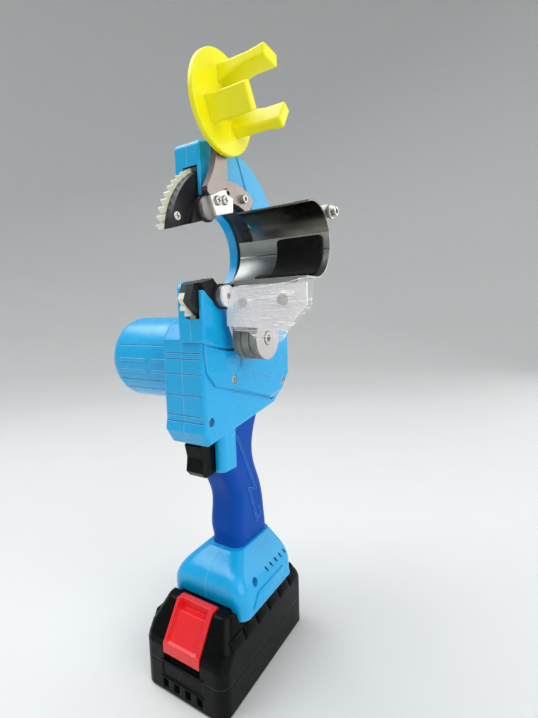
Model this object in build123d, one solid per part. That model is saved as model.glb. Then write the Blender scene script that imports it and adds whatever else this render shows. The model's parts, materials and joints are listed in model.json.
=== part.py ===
"""Cordless harness taping tool: every separate piece as its own solid, in millimetres.

Frame: +X to the tape side, -Y to the front (trigger and harness mouth), +Z up.
The origin is the middle of the battery's bottom face, on which the tool stands.
"""
import os
from math import acos, atan2, cos, degrees, hypot, pi, radians, sin, tan

from build123d import *

os.makedirs("parts", exist_ok=True)

# Clearances, walls and small screws
RUN_FIT = 0.06          # radial, a bore that turns on its shaft
SLIDE_GAP = 0.4         # a sliding piece and its guide
TURN_GAP = 0.6          # the rotor and the walls around it
SEAT_GAP = 0.3          # a loose piece in its pocket
WALL = 2.6              # moulded shell wall
SCREW_R = 1.5
SCREW_HEAD_R, SCREW_HEAD_H = 3.0, 1.8
COUNTERBORE_R = 3.3

# Battery
BATTERY_W, BATTERY_L, BATTERY_TOP = 76.0, 118.0, 53.4
BATTERY_CORNER_R, HUMP_EDGE_R = 9.0, 4.0
BATTERY_SPLIT = 24.0    # seam between the two halves of its case
HUMP_H, HUMP_L = 10.6, 28.0
RAIL_NECK_W, RAIL_NECK_H = 39.0, 4.0
RAIL_HEAD_W, RAIL_HEAD_H = 48.0, 4.2
RAIL_BACK = 40.0
CASE_FLOOR, CASE_SIDE, CASE_END, CASE_ROOF = 2.6, 3.0, 9.5, 11.0
CELL_R, CELL_L = 9.1, 65.0
CELL_COLUMNS, CELL_LAYERS = 5, 2
CELL_PITCH = 2 * CELL_R + 2 * SEAT_GAP
FRONT_PANEL_W, FRONT_PANEL_Z0, FRONT_PANEL_Z1 = 38.0, 13.0, 25.0
FRONT_VENTS, FRONT_VENT_W, FRONT_VENT_H = 4, 5.6, 7.5
BUTTON_W, BUTTON_TRAVEL = 34.0, 4.0
BUTTON_RIM, BUTTON_EDGE_R = 3.0, 1.6
BATTERY_FRONT, BATTERY_BACK = -BATTERY_L / 2, BATTERY_L / 2
HUMP_BACK, HUMP_TOP = BATTERY_FRONT + HUMP_L, BATTERY_TOP + HUMP_H
RAIL_NECK_TOP = BATTERY_TOP + RAIL_NECK_H
RAIL_TOP = RAIL_NECK_TOP + RAIL_HEAD_H

# Foot: each ring is its height, half width, distance behind the battery's hump, and back
FOOT_GAP, FOOT_H = 0.6, 38.0
FOOT_RINGS = [(0.0, 36.3, 1.0, 46.0), (13.0, 34.9, 1.4, 45.8), (22.0, 31.9, 2.3, 44.8),
              (28.0, 27.4, 6.0, 43.6), (33.0, 22.4, 13.0, 42.6), (FOOT_H, 17.0, 22.0, 42.0)]
FOOT_CORNER_R = 9.0
FOOT_BOTTOM = BATTERY_TOP + FOOT_GAP
FOOT_TOP = FOOT_BOTTOM + FOOT_H
FOOT_ROOF = FOOT_TOP - 6.0
VENT_COUNT, VENT_PITCH, VENT_TILT = 5, 7.15, 28.0
VENT_Y, VENT_Z = 8.0, FOOT_BOTTOM + 20.6
FOOT_SCREW, FOOT_SCREW_X = (-9.5, FOOT_BOTTOM + 20.0), 26.0

# Terminals and board in the foot
TERMINAL_W, TERMINAL_Y0, TERMINAL_Y1 = 30.0, 18.0, RAIL_BACK - 1.0
BOARD_Z, BOARD_T = FOOT_BOTTOM + 17.2, 1.6
BOARD_W, BOARD_Y0, BOARD_Y1 = 42.0, -2.0, 38.0
BLADE_X, BLADE_T = (-11.0, -4.0, 4.0, 11.0), 0.8
BLADE_Y0, BLADE_Y1 = RAIL_BACK - 15.0, RAIL_BACK - 2.0
BLADE_Z0 = RAIL_TOP - 2.8
CONTACT_HALF_W = 1.8

# Main body and motor
GRIP_H = 95.0           # from the foot to the underside of the body
MOTOR_RISE = 57.0       # from there to the motor axis
BODY_HALF_W, BODY_FRONT, BODY_BACK = 18.5, -43.0, 70.0
BODY_EDGE_R = 3.0
BODY_BOTTOM = FOOT_TOP + GRIP_H
MOTOR_Y, MOTOR_Z = 0.0, BODY_BOTTOM + MOTOR_RISE
GROOVES = (8.9, 4.7, -5.8, -20.8, -35.2, -39.6)     # across the front of the body, above the motor axis
GROOVE_W, GROOVE_D = 0.9, 0.7
BODY_IN = BODY_HALF_W - WALL
BARREL_R = 33.5
BARREL_LINES = (22.0, -26.0, -42.0)                 # degrees up from the front, also on the back
BARREL_BARS, BAR_W, BAR_H, BAR_BREAK = (2.0, -13.0), 2.4, 0.6, 5.5
CAN_R, CAN_L, CAN_WALL, FAN_ROOM = 22.0, 42.0, 3.4, 12.5
GEARBOX_L, GEARBOX_IN = 24.0, 6.5                   # length, and how far it reaches into the body
MOTOR_SHAFT_R, OUT_SHAFT_R = 2.0, 4.0
GEARBOX_END = GEARBOX_IN - BODY_HALF_W
CAN_FRONT = GEARBOX_END - GEARBOX_L
CAN_BACK = CAN_FRONT - CAN_L
BARREL_END = CAN_BACK - FAN_ROOM

# Grip: each ring is its height, front and back, all with one half width
GRIP_HALF_W, GRIP_SKIN, GRIP_CORE = 15.0, 2.2, 2.0
GRIP_RINGS = [(FOOT_TOP - 2.0, -6.2, 40.2), (FOOT_TOP + 13.0, -6.0, 39.7), (FOOT_TOP + 33.0, -4.4, 37.0),
              (BODY_BOTTOM - 46.0, -6.8, 32.2), (BODY_BOTTOM - 31.0, -13.6, 26.0),
              (BODY_BOTTOM - 15.0, -15.0, 24.0), (BODY_BOTTOM + 4.5, -15.0, 30.0),
              (BODY_BOTTOM + 13.5, -15.0, 34.0)]
GRIP_CORNER_R = 9.0
GRIP_END = BODY_BOTTOM + 13.4                       # inside the body, whose underside rises to the back
NECK_FRONT, NECK_BACK = -20.5, -4.0
NECK_BOTTOM = BODY_BOTTOM - 26.0                    # the rubber stops here in front, below the trigger
RIDGE_W, RIDGE_H = 1.8, 0.9

# Trigger and switch
TRIGGER_W, TRIGGER_TRAVEL = 15.2, 6.0
PLUNGER_W, PLUNGER_Z0, PLUNGER_Z1 = 6.0, NECK_BOTTOM + 8.5, NECK_BOTTOM + 16.5
SWITCH_W, SWITCH_Y0, SWITCH_Y1 = 18.0, -3.0, 17.0
SWITCH_Z0, SWITCH_Z1 = NECK_BOTTOM + 3.0, NECK_BOTTOM + 25.0

# Gear train
MODULE = 1.75
RING_TEETH, FRONT_TEETH, REAR_TEETH, DRIVE_TEETH = 63, 10, 18, 32
ADDENDUM, DEDENDUM = 0.92 * MODULE, 1.25 * MODULE
FLANK_PLAY = 0.11       # share of the circular pitch taken off each tooth
FIRST_TOOTH = 170.3     # degrees from +Y, the last tooth above the mouth
MISSING = 9             # teeth left out across the mouth
DRIVE_T, GEAR_T = 4.0, 5.0
PIN_R, PIN_X0 = 2.5, -12.6

# Head and rotor across their width, from the middle plane of the tool outward
LEFT_WALL, RIGHT_WALL_T = 7.2, 2.9
PLATE_T, PLATE_GAP, HUB_PROUD = 5.7, 1.1, 0.5
GEAR_X0 = LEFT_WALL + TURN_GAP
GEAR_X1 = GEAR_X0 + GEAR_T
PLATE_X1 = GEAR_X1 + PLATE_T
RIGHT_WALL_IN = PLATE_X1 + PLATE_GAP
HEAD_W = RIGHT_WALL_IN + RIGHT_WALL_T
HEAD_SEAM = HEAD_W / 2
HUB_X1 = HEAD_W + HUB_PROUD
DRIVE_X1 = GEAR_X0 - 0.8
DRIVE_X0 = DRIVE_X1 - DRIVE_T
PIN_X1 = GEAR_X1 + 3.8

# Head and rotor round the rotor axis
RING_Y, RING_Z = MOTOR_Y - 12.0, MOTOR_Z + 79.5
HEAD_RIM, HEAD_BEVEL = 14.25, 2.2
HOOD_CORNER_R, FRONT_EDGE_R = 4.0, 2.0
HOOD_FRONT, JAW_FRONT = RING_Y - 29.0, RING_Y - 33.0
LEFT_MOUTH, RIGHT_MOUTH = (24.0, -21.5), (31.5, -29.0)      # top and bottom edge from the rotor axis
JAW_R = 9.0
HOOD_STEP = 0.7
ROTOR_BORE, HUB_R = 30.0, 41.6
LIP_OUT_R, LIP_T = 36.0, 4.0
PLATE_R = MODULE * RING_TEETH / 2 - 0.9
ROTOR_SCREW_R = PLATE_R - 4.4

# Pieces carried by the rotor; places are a radius and an angle up from the front
POST_AT = [(35.5, 40.0), (35.6, -66.5)]
POST_R, POST_STUD_R, BUSH_R, BUSH_T = 7.5, 2.0, 8.6, 1.8
ARM_STAND, ARM_T, ARM_W, CLAMP_T = 4.4, 4.4, 10.8, 2.0
ARM_FOOT_AT = [(37.0, 79.0), (37.0, 105.0)]
CLAMP_TOP = [(-29.0, 29.8), (-13.6, 37.6)]                  # its upper edge from the rotor axis
CLAMP_SCREW_AT, CLAMP_SCREW_R = [(35.5, 52.0), (33.0, 64.0)], 3.1
BUSH_X1 = HUB_X1 + BUSH_T
ARM_X0 = HUB_X1 + ARM_STAND
ARM_X1 = ARM_X0 + ARM_T
CLAMP_X1 = ARM_X0 + CLAMP_T
HOLDER_Y, HOLDER_Z = RING_Y - 20.5, RING_Z + 85.0
HOLDER_X0 = ARM_X1 + 1.2
HOLDER_R, HOLDER_T, HOLDER_HUB_R, HOLDER_HUB_L = 30.0, 4.2, 8.0, 9.0
PRONGS = [(-31.0, 33.0), (90.0, 38.0), (211.0, 38.0)]       # angle and length from the disc's back
PRONG_R, PRONG_W, PRONG_T, PRONG_LIP = 20.0, 15.0, 6.0, 1.4
PRONG_ROOT_T, PRONG_ROOT_L, PRONG_EDGE_R = 4.0, 20.0, 1.2      # the root grows toward the hub
SPINDLE_R, SPINDLE_HEAD_R, SPINDLE_HEAD_H = 3.0, 5.5, 3.0
ARM_Y0 = HOLDER_Y - 3.5
ARM_Y1 = ARM_Y0 + ARM_W
TROUGH_R, TROUGH_T, TROUGH_L = 24.0, 1.2, 73.0
TROUGH_X0 = GEAR_X1 + 2.2
TROUGH_X1 = TROUGH_X0 + TROUGH_L
TROUGH_SPLIT = 159.0    # angle where the panel meets the trough at the back
PAD_T, PAD_L, PAD_END, PAD_TAIL = 2.6, 35.0, 5.0, 12.0
ROD_AT, ROD_R, ROD_COLLAR_R, ROLLER_R = (33.2, 140.0), 2.5, 4.0, 5.2
FLOOR_Z = RING_Z - TROUGH_R
BRACKET_T, FLANGE_T = 1.8, 1.6
BRACKET_Y1 = RING_Y - 13.4
BRACKET_Y0 = BRACKET_Y1 - BRACKET_T
FLANGE_X0 = ARM_X0 + 1.0
BRACKET_SCREWS = [(42.5, FLOOR_Z - 13.5), (73.0, FLOOR_Z - 13.1)]
FILM_T = 0.5
WHEEL_Y, WHEEL_Z = RING_Y + 2.4, RING_Z - 62.0
WHEEL_R, WHEEL_L, WHEEL_DISCS, WHEEL_GROOVE = 15.0, 19.6, 4, 0.8
WHEEL_X0 = FLANGE_X0 + FLANGE_T + SLIDE_GAP
WHEEL_X1 = WHEEL_X0 + WHEEL_L
AXLE_R, AXLE_HEAD_R = 3.0, 4.4
COVER_TOP = ARM_X0 - 1.3                            # the arm passes over the gear cover
COVER_X = COVER_TOP - 2.3


# Shapes used throughout

def box(x0, x1, y0, y1, z0, z1):
    """Block between two corners."""
    return Pos((x0 + x1) / 2, (y0 + y1) / 2, (z0 + z1) / 2) * Box(x1 - x0, y1 - y0, z1 - z0)


def outline(points):
    """Flat face inside a closed line."""
    return make_face(Polyline(*points, close=True))


def prism(points, x0, x1):
    """Outline given as (Y, Z) points, run along X."""
    return extrude(Plane.YZ.offset(x0) * outline(points), amount=x1 - x0, dir=(1, 0, 0))


def along_y(points, y0, y1, grow=0.0):
    """Outline given as (X, Z) points, run along Y; it may be moved outward first."""
    face = outline(points)
    if grow:
        face = offset(face, amount=grow, kind=Kind.INTERSECTION)
    return extrude(Plane.XZ.offset(-y0) * face, amount=y1 - y0, dir=(0, 1, 0))


def rod(r, x0, x1, y, z):
    """Round bar along X."""
    return Pos((x0 + x1) / 2, y, z) * Rot(0, 90, 0) * Cylinder(r, x1 - x0)


def bar_y(r, y0, y1, x, z):
    """Round bar along Y."""
    return Pos(x, (y0 + y1) / 2, z) * Rot(90, 0, 0) * Cylinder(r, y1 - y0)


def bar_z(r, z0, z1, x, y):
    """Round bar along Z."""
    return Pos(x, y, (z0 + z1) / 2) * Cylinder(r, z1 - z0)


def around(points, y, z):
    """Points given from a centre, moved to it."""
    return [(y + u, z + v) for u, v in points]


def from_motor(points):
    return around(points, MOTOR_Y, MOTOR_Z)


def from_ring(points):
    return around(points, RING_Y, RING_Z)


def at(r, angle):
    """(Y, Z) at a radius from the rotor axis; the angle runs up from the front."""
    return RING_Y - r * cos(radians(angle)), RING_Z + r * sin(radians(angle))


def ring(r_out, r_in, x0, x1, y=RING_Y, z=RING_Z):
    """Flat ring round an X axis."""
    return rod(r_out, x0, x1, y, z) - rod(r_in, x0 - 1, x1 + 1, y, z)


def sector(r_out, r_in, a0, a1, x0, x1):
    """Part of a ring between two angles counted up from the front, less than a full turn."""
    turns = [a0 + (a1 - a0) * i / 4 for i in range(5)]
    return ring(r_out, r_in, x0, x1) & prism([(RING_Y, RING_Z)] + [at(2 * r_out, a) for a in turns], x0, x1)


def rounded(half_w, y0, y1, z, r):
    """Rounded rectangle lying at one height."""
    return Pos(0, (y0 + y1) / 2, z) * RectangleRounded(2 * half_w, y1 - y0, r)


def hexagon(y, z, x0, r, depth):
    """Hexagon socket along X."""
    return extrude(Plane.YZ.offset(x0) * Pos(y, z) * RegularPolygon(r, 6), amount=depth, dir=(1, 0, 0))


def screw_x(y, z, seat, length, head_r=SCREW_HEAD_R, head_h=SCREW_HEAD_H):
    """Cross recess screw along X, its head on the seat toward +X."""
    top = seat + head_h
    head = fillet(rod(head_r, seat, top, y, z).edges().group_by(Axis.X)[-1], 0.35 * head_h)
    long, wide = 0.62 * head_r, 0.15 * head_r
    for a, b in ((long, wide), (wide, long)):
        head -= box(top - 0.5 * head_h, top + 1, y - a, y + a, z - b, z + b)
    return head + rod(SCREW_R, seat - length, seat, y, z)


def screw_hole_x(y, z, seat, length):
    """What such a screw and the tool that drives it need."""
    return rod(SCREW_R, seat - length, seat, y, z) + rod(COUNTERBORE_R, seat, seat + 40, y, z)


def socket_screw_x(y, z, seat, head_r, length):
    """Hexagon socket screw along X, its head on the seat toward +X."""
    head = chamfer(rod(head_r, seat, seat + head_r, y, z).edges().group_by(Axis.X)[-1], 0.12 * head_r)
    head -= hexagon(y, z, seat + 0.4 * head_r, 0.55 * head_r, head_r)
    return head + rod(SCREW_R, seat - length, seat, y, z)


def save(shape, name):
    export_step(shape, f"parts/{name}.step")


# Gear geometry

def gear_outline(teeth, y, z, phase, missing=0):
    """Involute outline; the teeth start at the phase angle and run on, the last ones may be left out."""
    pitch_r = MODULE * teeth / 2
    base_r = pitch_r * cos(radians(20))
    tip_r, root_r = pitch_r + ADDENDUM, pitch_r - DEDENDUM
    half = pi / (2 * teeth) * (1 - 2 * FLANK_PLAY)

    def involute(r):
        return tan(acos(base_r / r)) - acos(base_r / r)

    flank = []
    for i in range(5):
        r = root_r + (tip_r - root_r) * i / 4
        flank.append((r, half + involute(pitch_r) - involute(max(r, base_r))))
    points = []
    for k in range(teeth):
        mid = radians(phase) - 2 * pi * k / teeth
        if k < teeth - missing:
            turn = [(r, mid + w) for r, w in flank] + [(r, mid - w) for r, w in reversed(flank)]
        else:
            turn = [(root_r, mid + pi / (2 * teeth)), (root_r, mid - pi / (2 * teeth))]
        points += [(y + r * cos(a), z + r * sin(a)) for r, a in turn]
    return points


def mesh_phase(phase, teeth, direction, other):
    """Phase of a gear that meshes with one whose phase is known, along the line of centres."""
    step = 360 / teeth
    off = (phase - direction + step / 2) % step - step / 2
    return direction + 180 - off * teeth / other - 180 / other


def pinion_angle(to_ring, to_drive):
    """Angle at the rotor axis between the drive gear and a pinion, from its two centre distances."""
    return degrees(acos((to_ring ** 2 + AXIS_GAP ** 2 - to_drive ** 2) / (2 * to_ring * AXIS_GAP)))


def centre_distance(teeth_a, teeth_b):
    return MODULE * (teeth_a + teeth_b) / 2


def direction_to(y0, z0, y1, z1):
    return degrees(atan2(z1 - z0, y1 - y0))


AXIS_GAP = hypot(MOTOR_Y - RING_Y, RING_Z - MOTOR_Z)
TO_MOTOR = direction_to(RING_Y, RING_Z, MOTOR_Y, MOTOR_Z)
FRONT_A, REAR_A = centre_distance(RING_TEETH, FRONT_TEETH), centre_distance(RING_TEETH, REAR_TEETH)
FRONT_DIR = TO_MOTOR - pinion_angle(FRONT_A, centre_distance(DRIVE_TEETH, FRONT_TEETH))
REAR_DIR = TO_MOTOR + pinion_angle(REAR_A, centre_distance(DRIVE_TEETH, REAR_TEETH))
FRONT_Y, FRONT_Z = RING_Y + FRONT_A * cos(radians(FRONT_DIR)), RING_Z + FRONT_A * sin(radians(FRONT_DIR))
REAR_Y, REAR_Z = RING_Y + REAR_A * cos(radians(REAR_DIR)), RING_Z + REAR_A * sin(radians(REAR_DIR))
FRONT_PHASE = mesh_phase(FIRST_TOOTH, RING_TEETH, FRONT_DIR, FRONT_TEETH)
REAR_PHASE = mesh_phase(FIRST_TOOTH, RING_TEETH, REAR_DIR, REAR_TEETH)
FRONT_TO_DRIVE = direction_to(FRONT_Y, FRONT_Z, MOTOR_Y, MOTOR_Z)
DRIVE_TO_REAR = direction_to(MOTOR_Y, MOTOR_Z, REAR_Y, REAR_Z)
DRIVE_PHASE = mesh_phase(FRONT_PHASE, FRONT_TEETH, FRONT_TO_DRIVE, DRIVE_TEETH)
REAR_DRIVE_PHASE = mesh_phase(DRIVE_PHASE, DRIVE_TEETH, DRIVE_TO_REAR, REAR_TEETH)
TIP = {n: MODULE * n / 2 + ADDENDUM for n in (RING_TEETH, FRONT_TEETH, REAR_TEETH, DRIVE_TEETH)}
PINIONS = [(FRONT_Y, FRONT_Z, TIP[FRONT_TEETH]), (REAR_Y, REAR_Z, TIP[REAR_TEETH])]
HEAD_R = TIP[RING_TEETH] + HEAD_RIM

# Screw places: (Y, Z), seat along X and length
HEAD_SCREWS = [at(HEAD_R - 5.8, a) for a in (152, 172, 190, 207)]
HEAD_SCREW_SEAT, HEAD_SCREW_L = HEAD_W - SCREW_HEAD_H, 14.0
BODY_SCREWS = from_motor([(-35.5, -40.0), (46.0, -36.0), (57.0, 6.0)])
BODY_SCREW_SEAT, BODY_SCREW_L = BODY_HALF_W - 4.0, 22.0
COVER_SCREWS = from_motor([(-14.0, -12.5), (57.0, -24.5), (57.0, 32.0)])
COVER_SCREW_SEAT, COVER_SCREW_L = COVER_X - 2.2, 7.0
BOSS_R = 4.4


# Shapes shared by several pieces

def gear_room(gap):
    """Space swept by the drive gear and both pinions."""
    room = rod(TIP[DRIVE_TEETH] + gap, DRIVE_X0 - TURN_GAP, DRIVE_X1 + gap, MOTOR_Y, MOTOR_Z)
    for y, z, tip in PINIONS:
        room += rod(tip + gap, DRIVE_X0 - TURN_GAP, GEAR_X1 + TURN_GAP, y, z)
    return room


def head_block():
    """Outside of the C head: a thick disc cut flat in front, with rounded front edges."""
    disc = rod(HEAD_R, 0, HEAD_W, RING_Y, RING_Z)
    disc = chamfer(disc.edges().group_by(Axis.X)[-1], HEAD_BEVEL)
    disc -= box(-1, HEAD_W + 1, HOOD_FRONT - 100, HOOD_FRONT, RING_Z, RING_Z + 100)
    disc -= box(-1, HEAD_W + 1, JAW_FRONT - 100, JAW_FRONT, RING_Z - 100, RING_Z)
    top = disc.edges().filter_by(Axis.X).sort_by(Axis.Z)[-1]
    disc = fillet(top, HOOD_CORNER_R)
    sides = [e for e in disc.edges() if min(e.center().X, HEAD_W - e.center().X) < 0.1
             and (e.center().Z > RING_Z + 10 and abs(e.center().Y - HOOD_FRONT) < 0.1
                  or e.center().Z < RING_Z - 10 and abs(e.center().Y - JAW_FRONT) < 0.1)]
    return fillet(sides, FRONT_EDGE_R)


def mouth_cut(edges, x0, x1):
    """Mouth of the head between its top and bottom edge."""
    top, bottom = edges
    return prism(from_ring([(-60, top), (0, top), (0, bottom), (-60, bottom)]), x0, x1)


def head_shells():
    """Left and right half of the C head with the slot for the rotor between them."""
    body = head_block() - gear_room(TURN_GAP)
    body -= rod(TIP[RING_TEETH] + 2 * TURN_GAP, LEFT_WALL, RIGHT_WALL_IN, RING_Y, RING_Z)
    body -= ring(LIP_OUT_R + LIP_T + SLIDE_GAP, LIP_OUT_R, DRIVE_X0, LEFT_WALL + 0.1)
    body -= rod(ROTOR_BORE - TURN_GAP, -1, LEFT_WALL + 1, RING_Y, RING_Z)
    body -= rod(HUB_R + TURN_GAP, RIGHT_WALL_IN - 1, HEAD_W + 1, RING_Y, RING_Z)
    body -= mouth_cut(LEFT_MOUTH, -1, HEAD_SEAM) + mouth_cut(RIGHT_MOUTH, HEAD_SEAM, HEAD_W + 1)
    jaw_z = RING_Z + LEFT_MOUTH[1] - JAW_R
    corner = box(-1, HEAD_SEAM, JAW_FRONT - 1, JAW_FRONT + JAW_R, jaw_z, jaw_z + JAW_R + 1)
    body -= corner - rod(JAW_R, -2, HEAD_SEAM + 1, JAW_FRONT + JAW_R, jaw_z)
    for y, z, _ in PINIONS:
        body -= rod(PIN_R, -1, PIN_X1 + SLIDE_GAP, y, z)
    body -= rod(OUT_SHAFT_R + 2, -1, HEAD_W + 1, MOTOR_Y, MOTOR_Z)
    for y, z in HEAD_SCREWS:
        body -= screw_hole_x(y, z, HEAD_SCREW_SEAT, HEAD_SCREW_L)
    # the hood in front stands a little lower than the back half of the right wall
    hood = from_ring([(-70, 6.5), (39.0, 11.5), (26.7, 36.2), (10.6, 68.6), (7.0, 90.0), (-70, 90.0)])
    body -= prism(hood, HEAD_W - HOOD_STEP, HEAD_W + 1)
    left = body & box(-1, HEAD_SEAM, -200, 200, 0, 500)
    right = body & box(HEAD_SEAM, HEAD_W + 1, -200, 200, 0, 500)
    return left, right


def body_outline():
    """Side outline of the main body."""
    return outline(from_motor([
        (BODY_FRONT, 19.0 - MOTOR_RISE), (BODY_FRONT - 1.5, 10.5 - MOTOR_RISE),
        (BODY_FRONT + 5.0, -MOTOR_RISE), (BODY_BACK - 19.0, 14.0 - MOTOR_RISE),
        (BODY_BACK - 7.0, -35.0), (BODY_BACK, -22.0),
        (BODY_BACK, 20.0), (BODY_BACK - 9.0, 42.0), (BODY_BACK - 24.0, 48.0), (8.0, 46.0),
        (-22.0, 35.0), (BODY_FRONT + 7.0, 28.0), (BODY_FRONT, 18.0)]))


def across(face, half_w):
    """Side outline run across the tool, as far to the left as to the right."""
    return extrude(Plane.YZ.offset(-half_w) * face, amount=2 * half_w, dir=(1, 0, 0))


def grip_solid(inset, z_low, z_high):
    """Handle shape: rounded outlines joined smoothly, moved in by the inset."""
    rings = [rounded(GRIP_HALF_W - inset, y0 + inset, y1 - inset, z, GRIP_CORNER_R - inset)
             for z, y0, y1 in GRIP_RINGS]
    return loft(rings) & box(-60, 60, -80, 80, z_low, z_high)


def foot_solid(inset):
    rings = [rounded(w - inset, HUMP_BACK + behind + inset, back - inset, FOOT_BOTTOM + h,
                     FOOT_CORNER_R - inset / 2)
             for h, w, behind, back in FOOT_RINGS]
    return loft(rings)


def rail_way():
    """Way in the foot for the battery's rails, with the opening for the terminals."""
    end, top = RAIL_BACK + SLIDE_GAP, RAIL_TOP + SLIDE_GAP
    neck, head = RAIL_NECK_W / 2 + SLIDE_GAP, RAIL_HEAD_W / 2 + SLIDE_GAP
    way = box(-neck, neck, -80, end, FOOT_BOTTOM - 1, top)
    way += box(-head, head, -80, end, RAIL_NECK_TOP - SLIDE_GAP, top)
    return way + box(-TERMINAL_W / 2, TERMINAL_W / 2, TERMINAL_Y0, TERMINAL_Y1, RAIL_TOP, top + WALL + 1)


def body_hollow():
    """Everything inside the clamshell: motor room, switch room, handle and foot."""
    room = across(offset(body_outline(), amount=-WALL, kind=Kind.INTERSECTION), BODY_IN)
    side = GRIP_HALF_W - WALL
    room += box(-side, side, NECK_FRONT + WALL, NECK_BACK, NECK_BOTTOM + WALL, GRIP_END)
    side = SWITCH_W / 2 + SEAT_GAP
    room += box(-side, side, NECK_BACK - 1, SWITCH_Y1 + SEAT_GAP, NECK_BOTTOM + WALL, GRIP_END)
    side = TRIGGER_W / 2 + SLIDE_GAP
    room += box(-side, side, -60, NECK_BACK, NECK_BOTTOM - 1, BODY_BOTTOM - 1)
    room += grip_solid(GRIP_SKIN + GRIP_CORE, FOOT_ROOF, SWITCH_Z0)
    room += box(-9, 9, 4, 30, FOOT_ROOF - 1, FOOT_TOP + 4)
    return room + (foot_solid(WALL) & box(-60, 60, -80, 80, RAIL_TOP + SLIDE_GAP + WALL, FOOT_ROOF))


def body_shells():
    """Left and right clamshell: main body, trigger surround, handle core and foot in one."""
    main = across(body_outline(), BODY_HALF_W)
    sides = main.faces().sort_by(Axis.X)
    main = fillet(sides[0].edges() + sides[-1].edges(), BODY_EDGE_R)
    neck = box(-GRIP_HALF_W, GRIP_HALF_W, NECK_FRONT, NECK_BACK, NECK_BOTTOM, BODY_BOTTOM + 5)
    neck = fillet(neck.edges().filter_by(Axis.Z).group_by(Axis.Y)[0], 5.0)
    core = grip_solid(GRIP_SKIN, FOOT_TOP - 2, GRIP_END)
    core -= box(-30, 30, -80, NECK_BACK, NECK_BOTTOM, GRIP_END + 9)
    shell = main + neck + core + foot_solid(0) - body_hollow() - rail_way()
    for y, z, _ in PINIONS:
        shell += rod(2 * PIN_R, -BODY_IN - 0.5, 0, y, z)
    shell += rod(2 * PIN_R + 1, GEAR_X1 + 2 * TURN_GAP, BODY_IN + 0.5, REAR_Y, REAR_Z)
    shell += rod(OUT_SHAFT_R + 5, DRIVE_X1 + 2, BODY_IN + 0.5, MOTOR_Y, MOTOR_Z)
    for y, z in BODY_SCREWS:
        shell += rod(BOSS_R, -BODY_IN - 0.5, BODY_IN + 0.5, y, z)
    shell += rod(BOSS_R, -60, 60, *FOOT_SCREW) & foot_solid(WALL / 2)
    for y, z in COVER_SCREWS:
        shell += rod(BOSS_R - 0.8, COVER_SCREW_SEAT - COVER_SCREW_L - 0.5, BODY_IN + 0.5, y, z)
        shell -= rod(SCREW_R, COVER_SCREW_SEAT - COVER_SCREW_L, COVER_SCREW_SEAT, y, z)
    shell -= head_block() + gear_room(TURN_GAP)
    for y, z, _ in PINIONS:
        shell -= rod(PIN_R, PIN_X0 - SLIDE_GAP, PIN_X1 + SLIDE_GAP, y, z)
    shell -= rod(CAN_R, -BODY_HALF_W - 1, GEARBOX_END, MOTOR_Y, MOTOR_Z)
    shell -= rod(OUT_SHAFT_R + RUN_FIT, 0, BODY_IN + 1, MOTOR_Y, MOTOR_Z)
    for y, z in BODY_SCREWS:
        shell -= screw_hole_x(y, z, BODY_SCREW_SEAT, BODY_SCREW_L)
    shell -= screw_hole_x(*FOOT_SCREW, FOOT_SCREW_X, BODY_SCREW_L)
    for rise in GROOVES:
        z = MOTOR_Z + rise
        shell -= box(-60, 60, BODY_FRONT - 1, BODY_FRONT + GROOVE_D, z - GROOVE_W / 2, z + GROOVE_W / 2)
    for side in (-1, 1):
        for k in range(VENT_COUNT):
            vent = Rot(VENT_TILT, 0, 0) * Box(12, 1.9, 5.0)
            shell -= Pos(side * 31, VENT_Y + VENT_PITCH * k, VENT_Z) * vent
    left = shell & box(-100, 0, -200, 200, 0, 500)
    right = shell & box(0, 100, -200, 200, 0, 500)
    return left, right


def grip_sleeve():
    """Rubber skin round the handle, open in front of the trigger, with a raised zigzag on both sides."""
    skin = grip_solid(0, FOOT_TOP, GRIP_END) - grip_solid(GRIP_SKIN, FOOT_TOP - 9, GRIP_END + 9)
    skin -= box(-30, 30, -80, NECK_BACK, NECK_BOTTOM, GRIP_END + 9)
    skin -= across(body_outline(), 2 * GRIP_HALF_W)
    zigzag = [(-2.2, BODY_BOTTOM - 2.4), (20.5, BODY_BOTTOM - 52.4), (12.0, BODY_BOTTOM - 50.4),
              (22.0, FOOT_TOP + 14.0), (27.0, FOOT_TOP + 17.5), (24.5, FOOT_TOP + 25.0)]
    strip = trace(Polyline(*zigzag), RIDGE_W)
    for side in (-1, 1):
        start = Plane.YZ.offset(side * (GRIP_HALF_W - RIDGE_H))
        skin += extrude(start * strip, amount=2 * RIDGE_H, dir=(side, 0, 0))
    return skin


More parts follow.
